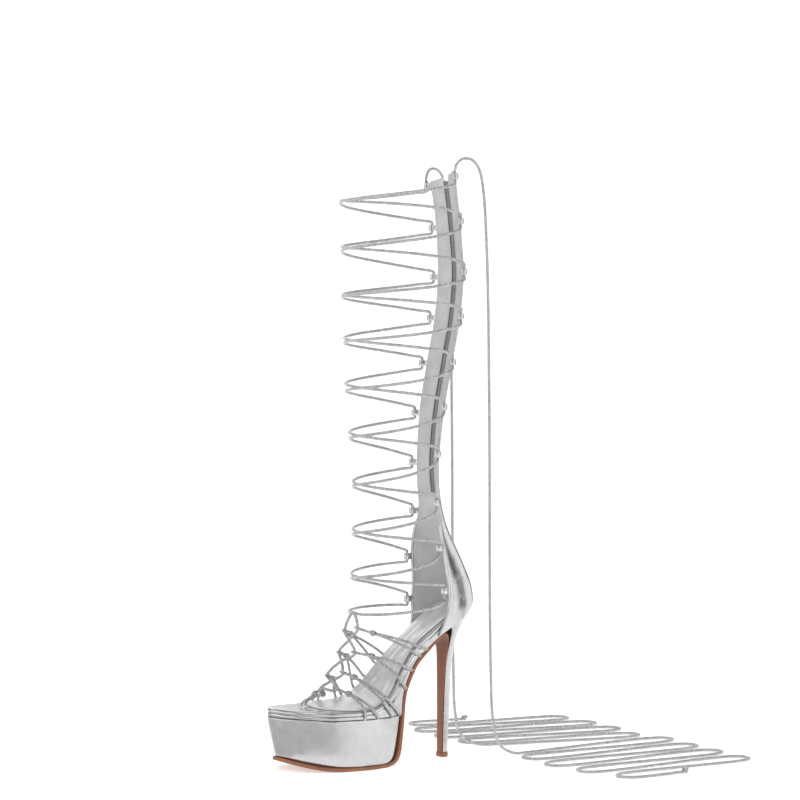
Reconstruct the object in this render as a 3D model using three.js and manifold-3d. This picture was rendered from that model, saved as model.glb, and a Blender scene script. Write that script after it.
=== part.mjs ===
// Knee-high gladiator sandal, left shoe, standing on its sole.
// Millimetres. +X points to the toe, +Y to the shoe's left (its outer side), +Z up.
// The origin is on the floor, at the centre of the tread under the forefoot.
import * as THREE from "three";
import { mergeVertices } from "three/addons/utils/BufferGeometryUtils.js";
import Module from "manifold-3d";

const wasm = await Module();
wasm.setup();

// ---- driving dimensions ----
const GAP = 0.35;               // clearance where two pieces meet
const FAR = 260;                // reach of the cutting shapes
const OUTLINE = { heel: -148, toe: 71, heelRound: 30, toeRound: 50 };
const GROOVE_Z = 50;            // top of the platform, where the footbed lies on it
const GROOVE_SPRING = 2;        // extra height of the platform's top at the toe
const SEAT = { front: -99.5, z: 124.5, slope: 0.58, lift: 0.65 };   // the heel's top face
const FOOTBED_DEPTH = 34;       // blank depth, before its underside is cut
const SOLE_THICK = 3.6;
const FLAP_THICK = 1.8;         // the outsole where it runs down the heel's breast
const SOLE_STATIONS = 46;
const INSOLE = {
  thick: 1.6, lift: 0.9, inset: 4.5, heel: -139, toe: 29.5, toeRound: 30, heelRound: 26, stations: 30 };
const PLATFORM = { foot: -4, taper: 7, bow: 1.2, sides: 0.75, lip: 1.2, back: -68, backRound: 2 };
const COUNTER_STEP = 1.2;       // where the footbed narrows to go inside the counter
const TOPLIFT = { front: -113.2, back: -122.6, half: 5.9, height: 4.6 };
const HEEL = { front: -94, steps: 14, roundness: 0.8, fullness: 0.9 };   // its section's curve
const WALL = 2.1;               // leather and lining of the upper
const STRIP_TOP = { z: 577, slant: 0.2 };
const ZIP = { bottom: 262, half: 4, thick: 1.4, slot: 4.4 };
const SLIDER = { z: 556, height: 9, half: 4.5, foot: 2.5, thick: 2.6, off: 0.4 };
const BRIDGE = { width: 2.2, height: 2, up: 2 };   // the slider's bar that holds the pull
const PULL_OUT = 5.2;           // the pull's hinge line, out from the strip's back
const PULL = { length: 20, top: 1.9, shoulder: 7, half: 3, neck: 2.1, thick: 1.3, hole: 1.1 };
const TAB = { height: 6, thick: 1.1, eye: 2.3, reach: 5.6, foot: 1.25, flare: 0.4 };
const LACE = 3.0;               // diameter of the cord
const LACE_SIDES = 5;
const LOOP = { diameter: 2.55, half: 2.55, waist: 0.8 };   // the small eye loops of thinner cord
const TIE_SIDES = 8;
const TIE_STEPS = 80;
const EYE_CLEAR = 6;            // a strand's end to the middle of the eye it runs through
const KNOT = 3.1;               // radius of a knot in the cord
const STRAP_CROWN = 1.5;        // how far a foot strap's strands rise over a straight line
const LEG_STEPS = 13;

// Half widths and middle line of the footbed, from heel to toe.
const FOOT_ROWS = [
  { x: -148, mid: 0, half: 27.5 }, { x: -120, mid: 0, half: 27 }, { x: -97, mid: 0, half: 24.5 },
  { x: -76, mid: 0.5, half: 22.5 }, { x: -55, mid: 0.5, half: 28 }, { x: -35, mid: 0.5, half: 37 },
  { x: -10, mid: 0.5, half: 41.5 }, { x: 10, mid: -1, half: 41 }, { x: 30, mid: -4, half: 39 },
  { x: 50, mid: -8, half: 37 }, { x: 71, mid: -13, half: 35 },
];

// The footbed's upper face along the middle line.
const TOP_ROWS = [
  { x: -150, z: 161 }, { x: -130, z: 152.5 }, { x: -108, z: 141 }, { x: -97, z: 133.8 },
  { x: -87, z: 126.5 }, { x: -76, z: 118 }, { x: -66, z: 108 }, { x: -51.6, z: 91 },
  { x: -42, z: 77.5 }, { x: -32, z: 67.5 }, { x: -20, z: 61.3 }, { x: -5, z: 58.8 },
  { x: 15, z: 58.5 }, { x: 45, z: 59.2 }, { x: 72, z: 60.6 },
];

// The outsole's outer face, from the toe along the tread, up behind the platform,
// along the arch and down the heel's breast, with the width of the piece at each place.
const SOLE_ROWS = [
  { x: 65.5, z: 9.6, mid: -11, half: 33, thick: SOLE_THICK },
  { x: 48, z: 4.6, mid: -7.5, half: 35, thick: SOLE_THICK },
  { x: 30, z: 1.2, mid: -4, half: 36, thick: SOLE_THICK },
  { x: 14, z: 0, mid: -1.5, half: 37, thick: SOLE_THICK },
  { x: -10, z: 0, mid: 0, half: 37.5, thick: SOLE_THICK },
  { x: -34, z: 0, mid: 0, half: 33, thick: SOLE_THICK },
  { x: -45.5, z: 3.4, mid: 0, half: 30.5, thick: SOLE_THICK },
  { x: -50.8, z: 10, mid: 0.5, half: 29.3, thick: SOLE_THICK },
  { x: -54.6, z: 30, mid: 0.5, half: 28.6, thick: SOLE_THICK },
  { x: -56.8, z: 50, mid: 0.5, half: 28.2, thick: SOLE_THICK },
  { x: -58.9, z: 66, mid: 0.5, half: 27.4, thick: SOLE_THICK },
  { x: -62.5, z: 76, mid: 0.5, half: 26.4, thick: SOLE_THICK },
  { x: -66.8, z: 83.9, mid: 0.5, half: 25.2, thick: SOLE_THICK },
  { x: -74.7, z: 96.1, mid: 0.5, half: 23.4, thick: SOLE_THICK },
  { x: -82.3, z: 103.6, mid: 0.5, half: 22.4, thick: SOLE_THICK },
  { x: -88.6, z: 108.9, mid: 0, half: 22.2, thick: SOLE_THICK },
  { x: -94.8, z: 114.5, mid: 0, half: 22, thick: SOLE_THICK },
  { x: -100.5, z: 119, mid: 0, half: 21.5, thick: SOLE_THICK },
  { x: -107.2, z: 122.4, mid: 0, half: 20, thick: 3.2 },
  { x: -111.8, z: 121.8, mid: 0, half: 17.6, thick: 2.6 },
  { x: -114.9, z: 117, mid: 0, half: 13.6, thick: 2 },
  { x: -115.8, z: 108, mid: 0, half: 10.4, thick: FLAP_THICK },
  { x: -114.9, z: 90, mid: 0, half: 7.6, thick: FLAP_THICK },
  { x: -113.9, z: 60, mid: 0, half: 5.6, thick: FLAP_THICK },
  { x: -113.4, z: 30, mid: 0, half: 4.6, thick: FLAP_THICK },
  { x: -113, z: 5, mid: 0, half: 4.2, thick: FLAP_THICK },
];

// The heel's back line and half widths at each height.
const HEEL_ROWS = [
  { z: 5, back: -122.8, half: 5.7 }, { z: 30, back: -124, half: 6.2 },
  { z: 60, back: -125.4, half: 7.4 }, { z: 90, back: -126.9, half: 9.6 },
  { z: 105, back: -128.8, half: 12.5 }, { z: 115, back: -130.4, half: 16 },
  { z: 126, back: -133.9, half: 20.5 }, { z: 137, back: -139.4, half: 24 },
  { z: 152, back: -148, half: 26.6 },
];

// The upper's wall: where its back stands, the oval it follows, and how far round the leg each
// front edge reaches, in degrees from the back. Past 90 degrees the wall runs straight forward.
const UPPER_ROWS = [
  { z: 153.9, back: -149.6, depth: 40, half: 27.2, inner: 108, outer: 108, level: 0 },
  { z: 158, back: -149.8, depth: 40, half: 27.4, inner: 107, outer: 99, level: 0.15 },
  { z: 165, back: -149, depth: 40, half: 27.6, inner: 105, outer: 90, level: 0.4 },
  { z: 175, back: -146.3, depth: 40, half: 27.6, inner: 100, outer: 86, level: 0.7 },
  { z: 190, back: -139.4, depth: 39, half: 27.6, inner: 92, outer: 81, level: 0.9 },
  { z: 206, back: -131.2, depth: 38, half: 28, inner: 82, outer: 74, level: 1 },
  { z: 222, back: -122.4, depth: 35, half: 28, inner: 69, outer: 66, level: 1 },
  { z: 236, back: -116, depth: 33, half: 29, inner: 54, outer: 59, level: 1 },
  { z: 252, back: -111.4, depth: 32, half: 30, inner: 43, outer: 51, level: 1 },
  { z: 275, back: -107.6, depth: 35, half: 34, inner: 36, outer: 43, level: 1 },
  { z: 300, back: -106.8, depth: 38, half: 38, inner: 32, outer: 38, level: 1 },
  { z: 346, back: -111.5, depth: 45, half: 45, inner: 29.5, outer: 29.5, level: 1 },
  { z: 392, back: -120.6, depth: 50, half: 50, inner: 28, outer: 24.5, level: 1 },
  { z: 438, back: -129.4, depth: 56, half: 56, inner: 25, outer: 20.5, level: 1 },
  { z: 480, back: -133, depth: 60, half: 60, inner: 23.5, outer: 19.5, level: 1 },
  { z: 529, back: -129, depth: 59, half: 59, inner: 22, outer: 21.5, level: 1 },
  { z: 577, back: -122.3, depth: 58, half: 58, inner: 22.3, outer: 22.3, level: 1 },
];
const UPPER_LEVELS = 26;
const UPPER_ROUND = 6;          // steps from the back to each front edge

// Heights of the lace tabs on the strip's outer and inner edge.
const TAB_ROWS = [
  { outer: 576, inner: 568.4 }, { outer: 532.1, inner: 526.8 }, { outer: 482.5, inner: 477.5 },
  { outer: 438.6, inner: 436.9 }, { outer: 393.6, inner: 391.6 }, { outer: 349.5, inner: 342.4 },
  { outer: 303.4, inner: 293.3 }, { outer: 255.7, inner: 244.8 }, { outer: 210.9, inner: 199 },
  { outer: 168.5, inner: 156.6 },
];

// The round the lace takes about the leg, at each height.
const LEG_ROWS = [
  { z: 150, middle: -66, radius: 48 }, { z: 182, middle: -66, radius: 46.5 },
  { z: 232, middle: -65, radius: 44 }, { z: 278, middle: -63.5, radius: 42.6 },
  { z: 324, middle: -63.5, radius: 46 }, { z: 362, middle: -63.9, radius: 49.7 },
  { z: 405, middle: -68.5, radius: 55 }, { z: 455, middle: -72.7, radius: 60.5 },
  { z: 509, middle: -70.5, radius: 59.5 }, { z: 556, middle: -67.5, radius: 58 },
];

// The foot straps: where each strand meets the sole's edge, and where its knot and eye stand.
const STRAP_ROWS = [
  { name: "outer_1", side: 1, ends: [-84.2, -77], knot: [-27.6, 16, 130], eye: [-14.5, 8, 135] },
  { name: "outer_2", side: 1, ends: [-66.5, -57.5], knot: [-25.8, 16, 107.8], eye: [-11, 8, 111.5] },
  { name: "outer_3", side: 1, ends: [-48, -36.3], knot: [-6.5, 16, 88.7], eye: [2.4, 8, 93] },
  { name: "outer_4", side: 1, ends: [-18.2, -3.5], knot: [-0.9, 15, 72.5], eye: [9.6, 7, 77.6] },
  { name: "inner_1", side: -1, ends: [-71, -63.4], knot: [-21, -16, 126.5], eye: [-9.5, -8, 131.4] },
  { name: "inner_2", side: -1, ends: [-56.4, -47.4], knot: [-16.5, -16, 105], eye: [-3.4, -8, 110.3] },
  { name: "inner_3", side: -1, ends: [-38, -26], knot: [-1.5, -17, 83.5], eye: [9.2, -9, 88.3] },
  { name: "inner_4", side: -1, ends: [-6, 6], knot: [8, -20.5, 69], eye: [14.8, -12.8, 74.4] },
];
const TOE_POST = { knot: [24, -8, 71.5], feet: [[37.8, -10], [31, -14]], eye: [17.6, -4.6, 77.2] };
const APEX = [-14.5, 0, 148.5];   // where the two halves of the lace meet over the instep
const APEX_ROUND = -66;           // middle of their round about the ankle

// Routes of the two ties: over the top tab, down behind the strip and along the floor.
const FLOOR = LACE / 2 + 0.25;
const OUTER_TIE = [
  [-114.6, 26.8, 580.6], [-115.8, 27.6, 587], [-121.5, 29.6, 593], [-131, 31.8, 592.4],
  [-138.5, 33.2, 584], [-143, 34, 565], [-147, 35, 500], [-150, 35, 350], [-152, 35, 90],
  [-155, 35.5, 34], [-162, 36, 13], [-178, 35, 3.4], [-202, 32, FLOOR], [-240, 28, FLOOR],
  [-366, 22, FLOOR], [-375, 33, FLOOR], [-366, 45, FLOOR], [-184, 49, FLOOR], [-175, 60, FLOOR],
  [-183, 72, FLOOR], [-362, 68, FLOOR], [-371, 79, FLOOR], [-364, 91, FLOOR], [-180, 95, FLOOR],
  [-171, 106, FLOOR], [-179, 118, FLOOR], [-360, 112, FLOOR], [-369, 123, FLOOR],
  [-362, 135, FLOOR], [-186, 141, FLOOR], [-177, 152, FLOOR], [-184, 164, FLOOR],
  [-358, 158, FLOOR], [-367, 169, FLOOR], [-360, 181, FLOOR], [-200, 187, FLOOR],
  [-191, 198, FLOOR], [-200, 209, FLOOR], [-262, 209, FLOOR],
];
const INNER_TIE = [
  [-114.8, -27.2, 573], [-116, -28, 579.5], [-121.7, -30, 585.5], [-131, -32, 584.9],
  [-138.5, -33.2, 576.5], [-143, -34, 557.5], [-147, -35, 500], [-150, -35, 350], [-152, -35, 90],
  [-155, -35.5, 34], [-162, -36, 13], [-178, -33, 3.4], [-203, -27, FLOOR], [-240, -19, FLOOR],
  [-352, 1, FLOOR], [-363, -7, FLOOR], [-357, -20, FLOOR], [-186, -48, FLOOR],
  [-177, -58, FLOOR], [-183, -71, FLOOR], [-360, -44, FLOOR], [-371, -53, FLOOR],
  [-364, -67, FLOOR], [-184, -92, FLOOR], [-175, -102, FLOOR], [-181, -115, FLOOR],
  [-362, -90, FLOOR], [-372, -100, FLOOR], [-365, -113, FLOOR], [-186, -136, FLOOR],
  [-177, -146, FLOOR], [-184, -159, FLOOR], [-358, -137, FLOOR], [-368, -146, FLOOR],
  [-362, -159, FLOOR], [-204, -178, FLOOR], [-195, -188, FLOOR], [-202, -200, FLOOR],
  [-266, -194, FLOOR],
];

// ---- finishes ----
const finish = (color, roughness, metalness) => () =>
  new THREE.MeshStandardMaterial({ color, roughness, metalness });
const silver = finish(0xc9c9cb, 0.25, 0.9);
const tan = finish(0x8e5b42, 0.55, 0);
const sock = finish(0xdcdcdc, 0.6, 0);
const cord = finish(0xb9b9bb, 0.4, 0.8);
const zipper = finish(0x8a8a8c, 0.5, 0.3);
const metal = finish(0xb4b4b6, 0.3, 1);

// ---- small tools ----
const degrees = Math.PI / 180;
const point = ([x, y, z]) => new THREE.Vector3(x, y, z);
const mix = (a, b, t) => a + (b - a) * t;

// A smooth value from a table: the rows' column `key`, read at `at` along column `by`.
function read(rows, key, at, by = "x") {
  const last = rows.length - 1;
  const rising = rows[last][by] > rows[0][by];
  let i = 0;
  while (i < last - 1 && (rising ? at > rows[i + 1][by] : at < rows[i + 1][by])) i += 1;
  const span = rows[i + 1][by] - rows[i][by];
  const t = Math.min(Math.max((at - rows[i][by]) / span, 0), 1);
  const slope = (j) => {
    const a = rows[Math.max(j - 1, 0)];
    const b = rows[Math.min(j + 1, last)];
    return (b[key] - a[key]) / (b[by] - a[by]);
  };
  const t2 = t * t;
  const t3 = t2 * t;
  return (2 * t3 - 3 * t2 + 1) * rows[i][key] + (t3 - 2 * t2 + t) * span * slope(i)
    + (3 * t2 - 2 * t3) * rows[i + 1][key] + (t3 - t2) * span * slope(i + 1);
}

// A closed mesh from a list of vertices and quads or triangles, with empty faces dropped.
function closed(vertices, faces) {
  const geometry = new THREE.BufferGeometry();
  geometry.setAttribute("position", new THREE.Float32BufferAttribute(vertices.flat(), 3));
  const index = [];
  for (const f of faces) {
    for (let k = 1; k + 1 < f.length; k += 1) index.push(f[0], f[k], f[k + 1]);
  }
  geometry.setIndex(index);
  return tidy(geometry);
}

// Shared vertices merged, empty triangles dropped, and faces turned outwards.
function tidy(geometry) {
  for (const name of Object.keys(geometry.attributes)) {
    if (name !== "position") geometry.deleteAttribute(name);
  }
  const merged = mergeVertices(geometry, 1e-4);
  const old = merged.getIndex().array;
  const p = merged.getAttribute("position").array;
  const index = [];
  let volume = 0;
  for (let i = 0; i < old.length; i += 3) {
    const [a, b, c] = [old[i], old[i + 1], old[i + 2]];
    if (a === b || b === c || c === a) continue;
    index.push(a, b, c);
    const [va, vb, vc] = [a, b, c].map((n) => new THREE.Vector3().fromArray(p, n * 3));
    volume += va.dot(vb.cross(vc));
  }
  if (volume < 0) index.reverse();
  merged.setIndex(index);
  return merged;
}

function solid(geometry) {
  const g = tidy(geometry.clone());
  return new wasm.Manifold(new wasm.Mesh({
    numProp: 3,
    vertProperties: new Float32Array(g.getAttribute("position").array),
    triVerts: new Uint32Array(g.getIndex().array),
  }));
}

function surface(body) {
  const mesh = body.getMesh();
  const geometry = new THREE.BufferGeometry();
  geometry.setAttribute("position", new THREE.Float32BufferAttribute(mesh.vertProperties, 3));
  geometry.setIndex([...mesh.triVerts]);
  return geometry;
}

const join = (...pieces) => surface(pieces.map(solid).reduce((a, b) => a.add(b)));
const cut = (piece, ...tools) => surface(tools.map(solid).reduce((a, b) => a.subtract(b), solid(piece)));

// Rings of points joined into one body, with each end closed by strips from side to side.
function loft(rings) {
  const n = rings[0].length;
  const faces = [];
  for (let i = 0; i + 1 < rings.length; i += 1) {
    for (let k = 0; k < n; k += 1) {
      const next = (k + 1) % n;
      faces.push([i * n + k, i * n + next, (i + 1) * n + next, (i + 1) * n + k]);
    }
  }
  const end = (rings.length - 1) * n;
  for (let k = 0; k + 1 < n / 2; k += 1) {
    faces.push([n - 1 - k, n - 2 - k, k + 1, k]);
    faces.push([end + k, end + k + 1, end + n - 2 - k, end + n - 1 - k]);
  }
  return closed(rings.flat(), faces);
}

// A prism standing across the shoe: its outline lies in X and Z.
function across(outline, reach = FAR) {
  const shape = new THREE.Shape(outline.map(([x, z]) => new THREE.Vector2(x, z)));
  const geometry = new THREE.ExtrudeGeometry(shape, { depth: reach, bevelEnabled: false });
  return geometry.rotateX(Math.PI / 2).translate(0, reach / 2, 0);
}

function polygon(radius, sides) {
  const corners = Array.from({ length: sides }, (_, k) => {
    const a = (k + 0.5) / sides * 2 * Math.PI;
    return new THREE.Vector2(radius * Math.cos(a), radius * Math.sin(a));
  });
  return new THREE.Shape(corners);
}

function tube(route, { steps = 12, diameter = LACE, sides = LACE_SIDES } = {}) {
  const extrudePath = new THREE.CatmullRomCurve3(route.map(point), false, "centripetal");
  const shape = polygon(diameter / 2, sides);
  return new THREE.ExtrudeGeometry(shape, { steps, extrudePath, bevelEnabled: false });
}

const ball = (at, radius) => new THREE.SphereGeometry(radius, 6, 4).translate(...at);

const sandal = new THREE.Group();
function add(name, geometry, material, parent = sandal) {
  const mesh = new THREE.Mesh(geometry, material());
  mesh.name = name;
  parent.add(mesh);
  return mesh;
}

// ---- the sole unit ----
// A quarter-round ending: 0 at the tip, 1 once `reach` away from it.
const rounding = (distance, reach) =>
  Math.sqrt(Math.max(0, 1 - Math.max(0, 1 - distance / reach) ** 2));

// The plan outline: one ring from the heel along the inner side to the toe and back.
function plan({ heel, toe, heelRound, toeRound, inset = 0, stations = 20 }, height) {
  const sides = [];
  for (let i = 0; i <= stations; i += 1) {
    const x = mix(heel, toe, (1 - Math.cos(Math.PI * i / stations)) / 2);
    const half = (read(FOOT_ROWS, "half", x) - inset)
      * rounding(x - heel, heelRound) * rounding(toe - x, toeRound);
    sides.push({ x, mid: read(FOOT_ROWS, "mid", x), half });
  }
  const side = (sign) => ({ x, mid, half }) => [x, mid + sign * half, height(x)];
  return [...sides.map(side(-1)), ...sides.reverse().map(side(1))];
}

const footTop = (x) => read(TOP_ROWS, "z", x);
const grooveZ = (x) => GROOVE_Z + GROOVE_SPRING * THREE.MathUtils.smoothstep(x, 20, OUTLINE.toe);
const seatZ = (x) => SEAT.z + (SEAT.front - x) * SEAT.slope;

// The outsole's course as places a little closer at the toe, each with its outer point and
// inward normal.
function soleCourse(count) {
  const curve = (column) => new THREE.CatmullRomCurve3(SOLE_ROWS.map(column), false, "centripetal");
  const course = curve(({ x, z }) => point([x, 0, z]));
  const widths = curve(({ mid, half, thick }) => point([mid, half, thick]));
  const crowding = 1.15;
  return Array.from({ length: count + 1 }, (_, i) => {
    const along = (i / count) ** crowding;
    const t = course.getUtoTmapping(along);
    const { x, z } = course.getPoint(t);
    const heading = course.getTangent(t);
    const { x: mid, y: half, z: thick } = widths.getPoint(t);
    const run = along * course.getLength();
    return { x, z: Math.max(z, 0), nx: heading.z, nz: -heading.x, mid, half, thick, run };
  });
}

function outsole() {
  const [tip, blunt] = [44, 0.6];
  const rings = soleCourse(SOLE_STATIONS).map(({ x, z, nx, nz, mid, half, thick, run }) => {
    const wide = half * rounding(run + blunt, tip);
    const inner = [x + nx * thick, z + nz * thick];
    return [
      [x, mid - wide, z], [inner[0], mid - wide, inner[1]],
      [inner[0], mid + wide, inner[1]], [x, mid + wide, z],
    ];
  });
  return loft(rings);
}

// The outsole's inner face and its clearance, seen from the side.
const innerFace = () => soleCourse(SOLE_STATIONS).map(({ x, z, nx, nz, thick }) => [
  x + nx * (thick + GAP), z + nz * (thick + GAP)]);

// Everything on the outer side of that face: the floor side of the whole sole.
function underside() {
  const edge = innerFace();
  const [toe] = edge;
  const heel = edge[edge.length - 1];
  return across([...edge, [heel[0], -FAR / 4], [FAR / 2, -FAR / 4], [FAR / 2, toe[1] + 6]]);
}

// The platform: set in towards its foot in a slight bow, with a small rounded lip on top.
function platform() {
  const { foot, taper, bow, sides, lip, back, backRound } = PLATFORM;
  const rings = [0, 0.25, 0.5, 0.75, 0.93, 1].map((t) => {
    const inset = taper * (1 - t) ** bow + (t === 1 ? lip : 0);
    const shape = { heel: back, heelRound: backRound, toe: OUTLINE.toe - inset,
      toeRound: OUTLINE.toeRound, inset: inset * sides };
    return plan(shape, (x) => mix(foot, grooveZ(x), t));
  });
  return cut(loft(rings), underside());
}

// The footbed: a blank with a rounded upper edge, cut to lie on the platform, along the arch
// and on the heel.
function footbed() {
  const shape = { ...OUTLINE, stations: 32 };
  const levels = [
    { drop: FOOTBED_DEPTH, inset: 0.8 }, { drop: 6.4, inset: 0.2 }, { drop: 1.6, inset: 0 },
    { drop: 0.4, inset: 0.7 }, { drop: 0, inset: 1.8 },
  ];
  const blank = loft(levels.map(({ drop, inset }) => plan(
    { ...shape, heel: shape.heel + inset, toe: shape.toe - inset, inset },
    (x) => footTop(x) - drop)));
  const [back, sunk] = [-58, GROOVE_Z - 6];
  const ground = [];
  for (let x = FAR / 2; x > back; x -= 6) ground.push([x, grooveZ(Math.min(x, OUTLINE.toe)) + GAP]);
  const onPlatform = across([
    ...ground, [back, GROOVE_Z + GAP], [back - 7, sunk], [back - 7, -FAR / 4], [FAR / 2, -FAR / 4]]);
  const onSeat = across([
    [SEAT.front, seatZ(SEAT.front) + SEAT.lift], [-FAR, seatZ(-FAR) + SEAT.lift], [-FAR, 0],
    [SEAT.front, 0]]);
  return cut(blank, underside(), onPlatform, onSeat, counterRoom());
}

// The insole, laid on the footbed's face; it ends in a point ahead of the toe loop.
function insole() {
  const { lift, thick, ...outline } = INSOLE;
  return loft([lift, lift + thick].map((up) => plan(outline, (x) => footTop(x) + up)));
}

// Room for the counter: what lies outside the upper's inner face, behind its front edges.
function counterRoom() {
  const [floor, ceiling] = [80, 200];
  const front = SEAT.front + COUNTER_STEP;
  const block = across([[front, floor], [front, ceiling], [-FAR, ceiling], [-FAR, floor]], 90);
  const ring = [];
  for (let turn = -120; turn <= 120; turn += 10) {
    const { x, y } = wallPoint(UPPER_ROWS[0].z, turn, WALL + 2 * GAP);
    ring.push([x, y]);
  }
  const [, side] = ring[0];
  const inside = [[0, side], ...ring, [0, -side]];
  return cut(block, loft([floor - 5, ceiling + 5].map((z) => inside.map(([x, y]) => [x, y, z]))));
}

// The heel: its section is square at the breast and round at the back, and widens into the seat.
function heel() {
  const { front, steps, roundness, fullness } = HEEL;
  const levels = [TOPLIFT.height + GAP, 30, 60, 80, 92, 102, 111, 119, 127, 136, 146, 162];
  const rings = levels.map((z) => {
    const back = read(HEEL_ROWS, "back", z, "z");
    const half = read(HEEL_ROWS, "half", z, "z");
    return Array.from({ length: steps + 1 }, (_, k) => {
      const a = (k / steps - 0.5) * Math.PI;
      const reach = Math.max(Math.cos(a), 1e-9) ** roundness;
      return [front - (front - back) * reach, half * Math.sign(a) * Math.abs(Math.sin(a)) ** fullness, z];
    });
  });
  const seat = across([
    [SEAT.front - GAP, 0], [SEAT.front - GAP, seatZ(SEAT.front)], [-FAR, seatZ(-FAR)],
    [-FAR, 2 * FAR], [FAR, 2 * FAR], [FAR, 0]]);
  return cut(loft(rings), underside(), seat);
}

function toplift() {
  const { front, back, half, height } = TOPLIFT;
  const outline = new THREE.Shape();
  outline.moveTo(front, -half);
  outline.lineTo(front, half);
  outline.lineTo(back + half, half);
  outline.absarc(back + half, 0, half, Math.PI / 2, 1.5 * Math.PI, false);
  return new THREE.ExtrudeGeometry(outline, { depth: height, bevelEnabled: false, curveSegments: 8 });
}

// ---- the upper ----
const wallAt = (z) => Object.fromEntries(
  ["back", "depth", "half", "inner", "outer", "level"].map((key) => [key, read(UPPER_ROWS, key, z, "z")]));

// A place on the upper's wall at one height: `turn` degrees round from the back, outer side
// positive, and `deep` mm in from its outer face.
function wallPoint(z, turn, deep = 0) {
  const { back, depth, half } = wallAt(z);
  const a = Math.min(Math.abs(turn), 90) * degrees;
  const straight = Math.max(Math.abs(turn) - 90, 0) * degrees * depth;
  const side = Math.sign(turn);
  let nx = -Math.cos(a) * half;
  let ny = Math.sin(a) * depth;
  const size = Math.hypot(nx, ny);
  nx /= size;
  ny /= size;
  const x = back + depth * (1 - Math.cos(a)) + straight;
  return { x: x - nx * deep, y: side * (half * Math.sin(a) - ny * deep), z, nx, ny: side * ny };
}

// The front edges' place at one height.
const edgeTurn = (z, side) => side * wallAt(z)[side > 0 ? "outer" : "inner"];

// Height of a wall point: level rows stand flat, and the lowest follow the heel's sloping seat.
function wallHeight(row, x) {
  const { back, level } = wallAt(row);
  const top = THREE.MathUtils.smoothstep(row, 540, STRIP_TOP.z);
  return { slope: row - (1 - level) * (x - back) * SEAT.slope, top };
}

function upper() {
  const rings = [];
  const low = UPPER_ROWS[0].z;
  for (let i = 0; i <= UPPER_LEVELS; i += 1) {
    const z = mix(low, STRIP_TOP.z, (i / UPPER_LEVELS) ** 1.35);
    const wall = [];
    for (let k = -UPPER_ROUND; k <= UPPER_ROUND; k += 1) {
      wall.push(Math.abs(k) / UPPER_ROUND * edgeTurn(z, Math.sign(k) || 1) || 0);
    }
    const face = (deep) => wall.map((turn) => {
      const outerFace = wallPoint(z, turn, 0);
      const { x, y } = wallPoint(z, turn, deep);
      const { slope, top } = wallHeight(z, outerFace.x);
      return [x, y, slope + top * STRIP_TOP.slant * outerFace.y + GAP];
    });
    rings.push([...face(0), ...face(WALL).reverse()]);
  }
  return cut(loft(rings), zipBand(ZIP.slot, -3, WALL + 4, ZIP.bottom, STRIP_TOP.z + 12));
}

// A band up the middle of the back strip, between two depths from its outer face.
function zipBand(half, outside, inside, from, to) {
  const rings = [];
  const count = 16;
  for (let i = 0; i <= count; i += 1) {
    const z = mix(from, to, i / count);
    const { back } = wallAt(Math.min(z, STRIP_TOP.z));
    rings.push([
      [back + outside, -half, z], [back + inside, -half, z],
      [back + inside, half, z], [back + outside, half, z]]);
  }
  return loft(rings);
}

// The zip's slider: a tapered plate on the teeth with a bridge for the pull.
function zipSlider() {
  const { back } = wallAt(SLIDER.z);
  const { z, height, half, foot, thick, off } = SLIDER;
  const { width, height: tall, up } = BRIDGE;
  const body = new THREE.Shape([
    new THREE.Vector2(-half, height), new THREE.Vector2(-foot, 0),
    new THREE.Vector2(foot, 0), new THREE.Vector2(half, height)]);
  const plate = new THREE.ExtrudeGeometry(body, { depth: thick / 2, bevelEnabled: false });
  plate.rotateX(Math.PI / 2).rotateZ(-Math.PI / 2).translate(back - off - thick / 4, 0, z - height / 2);
  const bridge = new THREE.BoxGeometry(thick, width, tall).translate(back - off - thick / 2, 0, z + up);
  return join(plate, bridge);
}

// ---- lace tabs ----
// Where a tab stands: the strip's edge at its height, the way it points and its eye.
function tabPlace(row, side) {
  const z = TAB_ROWS[row][side > 0 ? "outer" : "inner"];
  const edgeAt = (height) => {
    let level = height;
    for (let i = 0; i < 8; i += 1) {
      const { x } = wallPoint(level, edgeTurn(level, side), WALL / 2);
      level += height - wallHeight(level, x).slope;
    }
    return wallPoint(level, edgeTurn(level, side), WALL / 2);
  };
  const edge = edgeAt(z);
  const out = new THREE.Vector3(side * edge.ny, -side * edge.nx, 0);
  const over = [-1, 0, 1].map((k) => {
    const { x, y } = edgeAt(z + k * TAB.height / 2);
    return (x - edge.x) * out.x + (y - edge.y) * out.y;
  });
  const root = new THREE.Vector3(edge.x, edge.y, z).addScaledVector(out, Math.max(...over) + GAP);
  return { out, root, eye: root.clone().addScaledVector(out, TAB.reach) };
}

// A short strap folded round an upright eye and stitched to the strip's edge.
function tab(row, side) {
  const { out, root } = tabPlace(row, side);
  const { foot, flare, reach, height } = TAB;
  const r = TAB.eye + TAB.thick;
  const turn = 0.72 * Math.PI;
  const outline = new THREE.Shape();
  outline.moveTo(GAP, -foot);
  outline.lineTo(reach - r + flare, -foot - flare);
  outline.absarc(reach, 0, r, -turn, turn, false);
  outline.lineTo(GAP, foot);
  const eye = new THREE.Path();
  eye.absarc(reach, 0, TAB.eye, 0, 2 * Math.PI, true);
  outline.holes.push(eye);
  const geometry = new THREE.ExtrudeGeometry(outline,
    { depth: height, bevelEnabled: false, curveSegments: 3 });
  return geometry.rotateZ(Math.atan2(out.y, out.x)).translate(root.x, root.y, root.z - height / 2);
}

// ---- lacing ----
const LACE_CLEAR = TAB.height / 2 + LACE / 2 + 2 * GAP;
const legAt = (z) => ({
  middle: read(LEG_ROWS, "middle", z, "z"), radius: read(LEG_ROWS, "radius", z, "z") });

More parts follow.
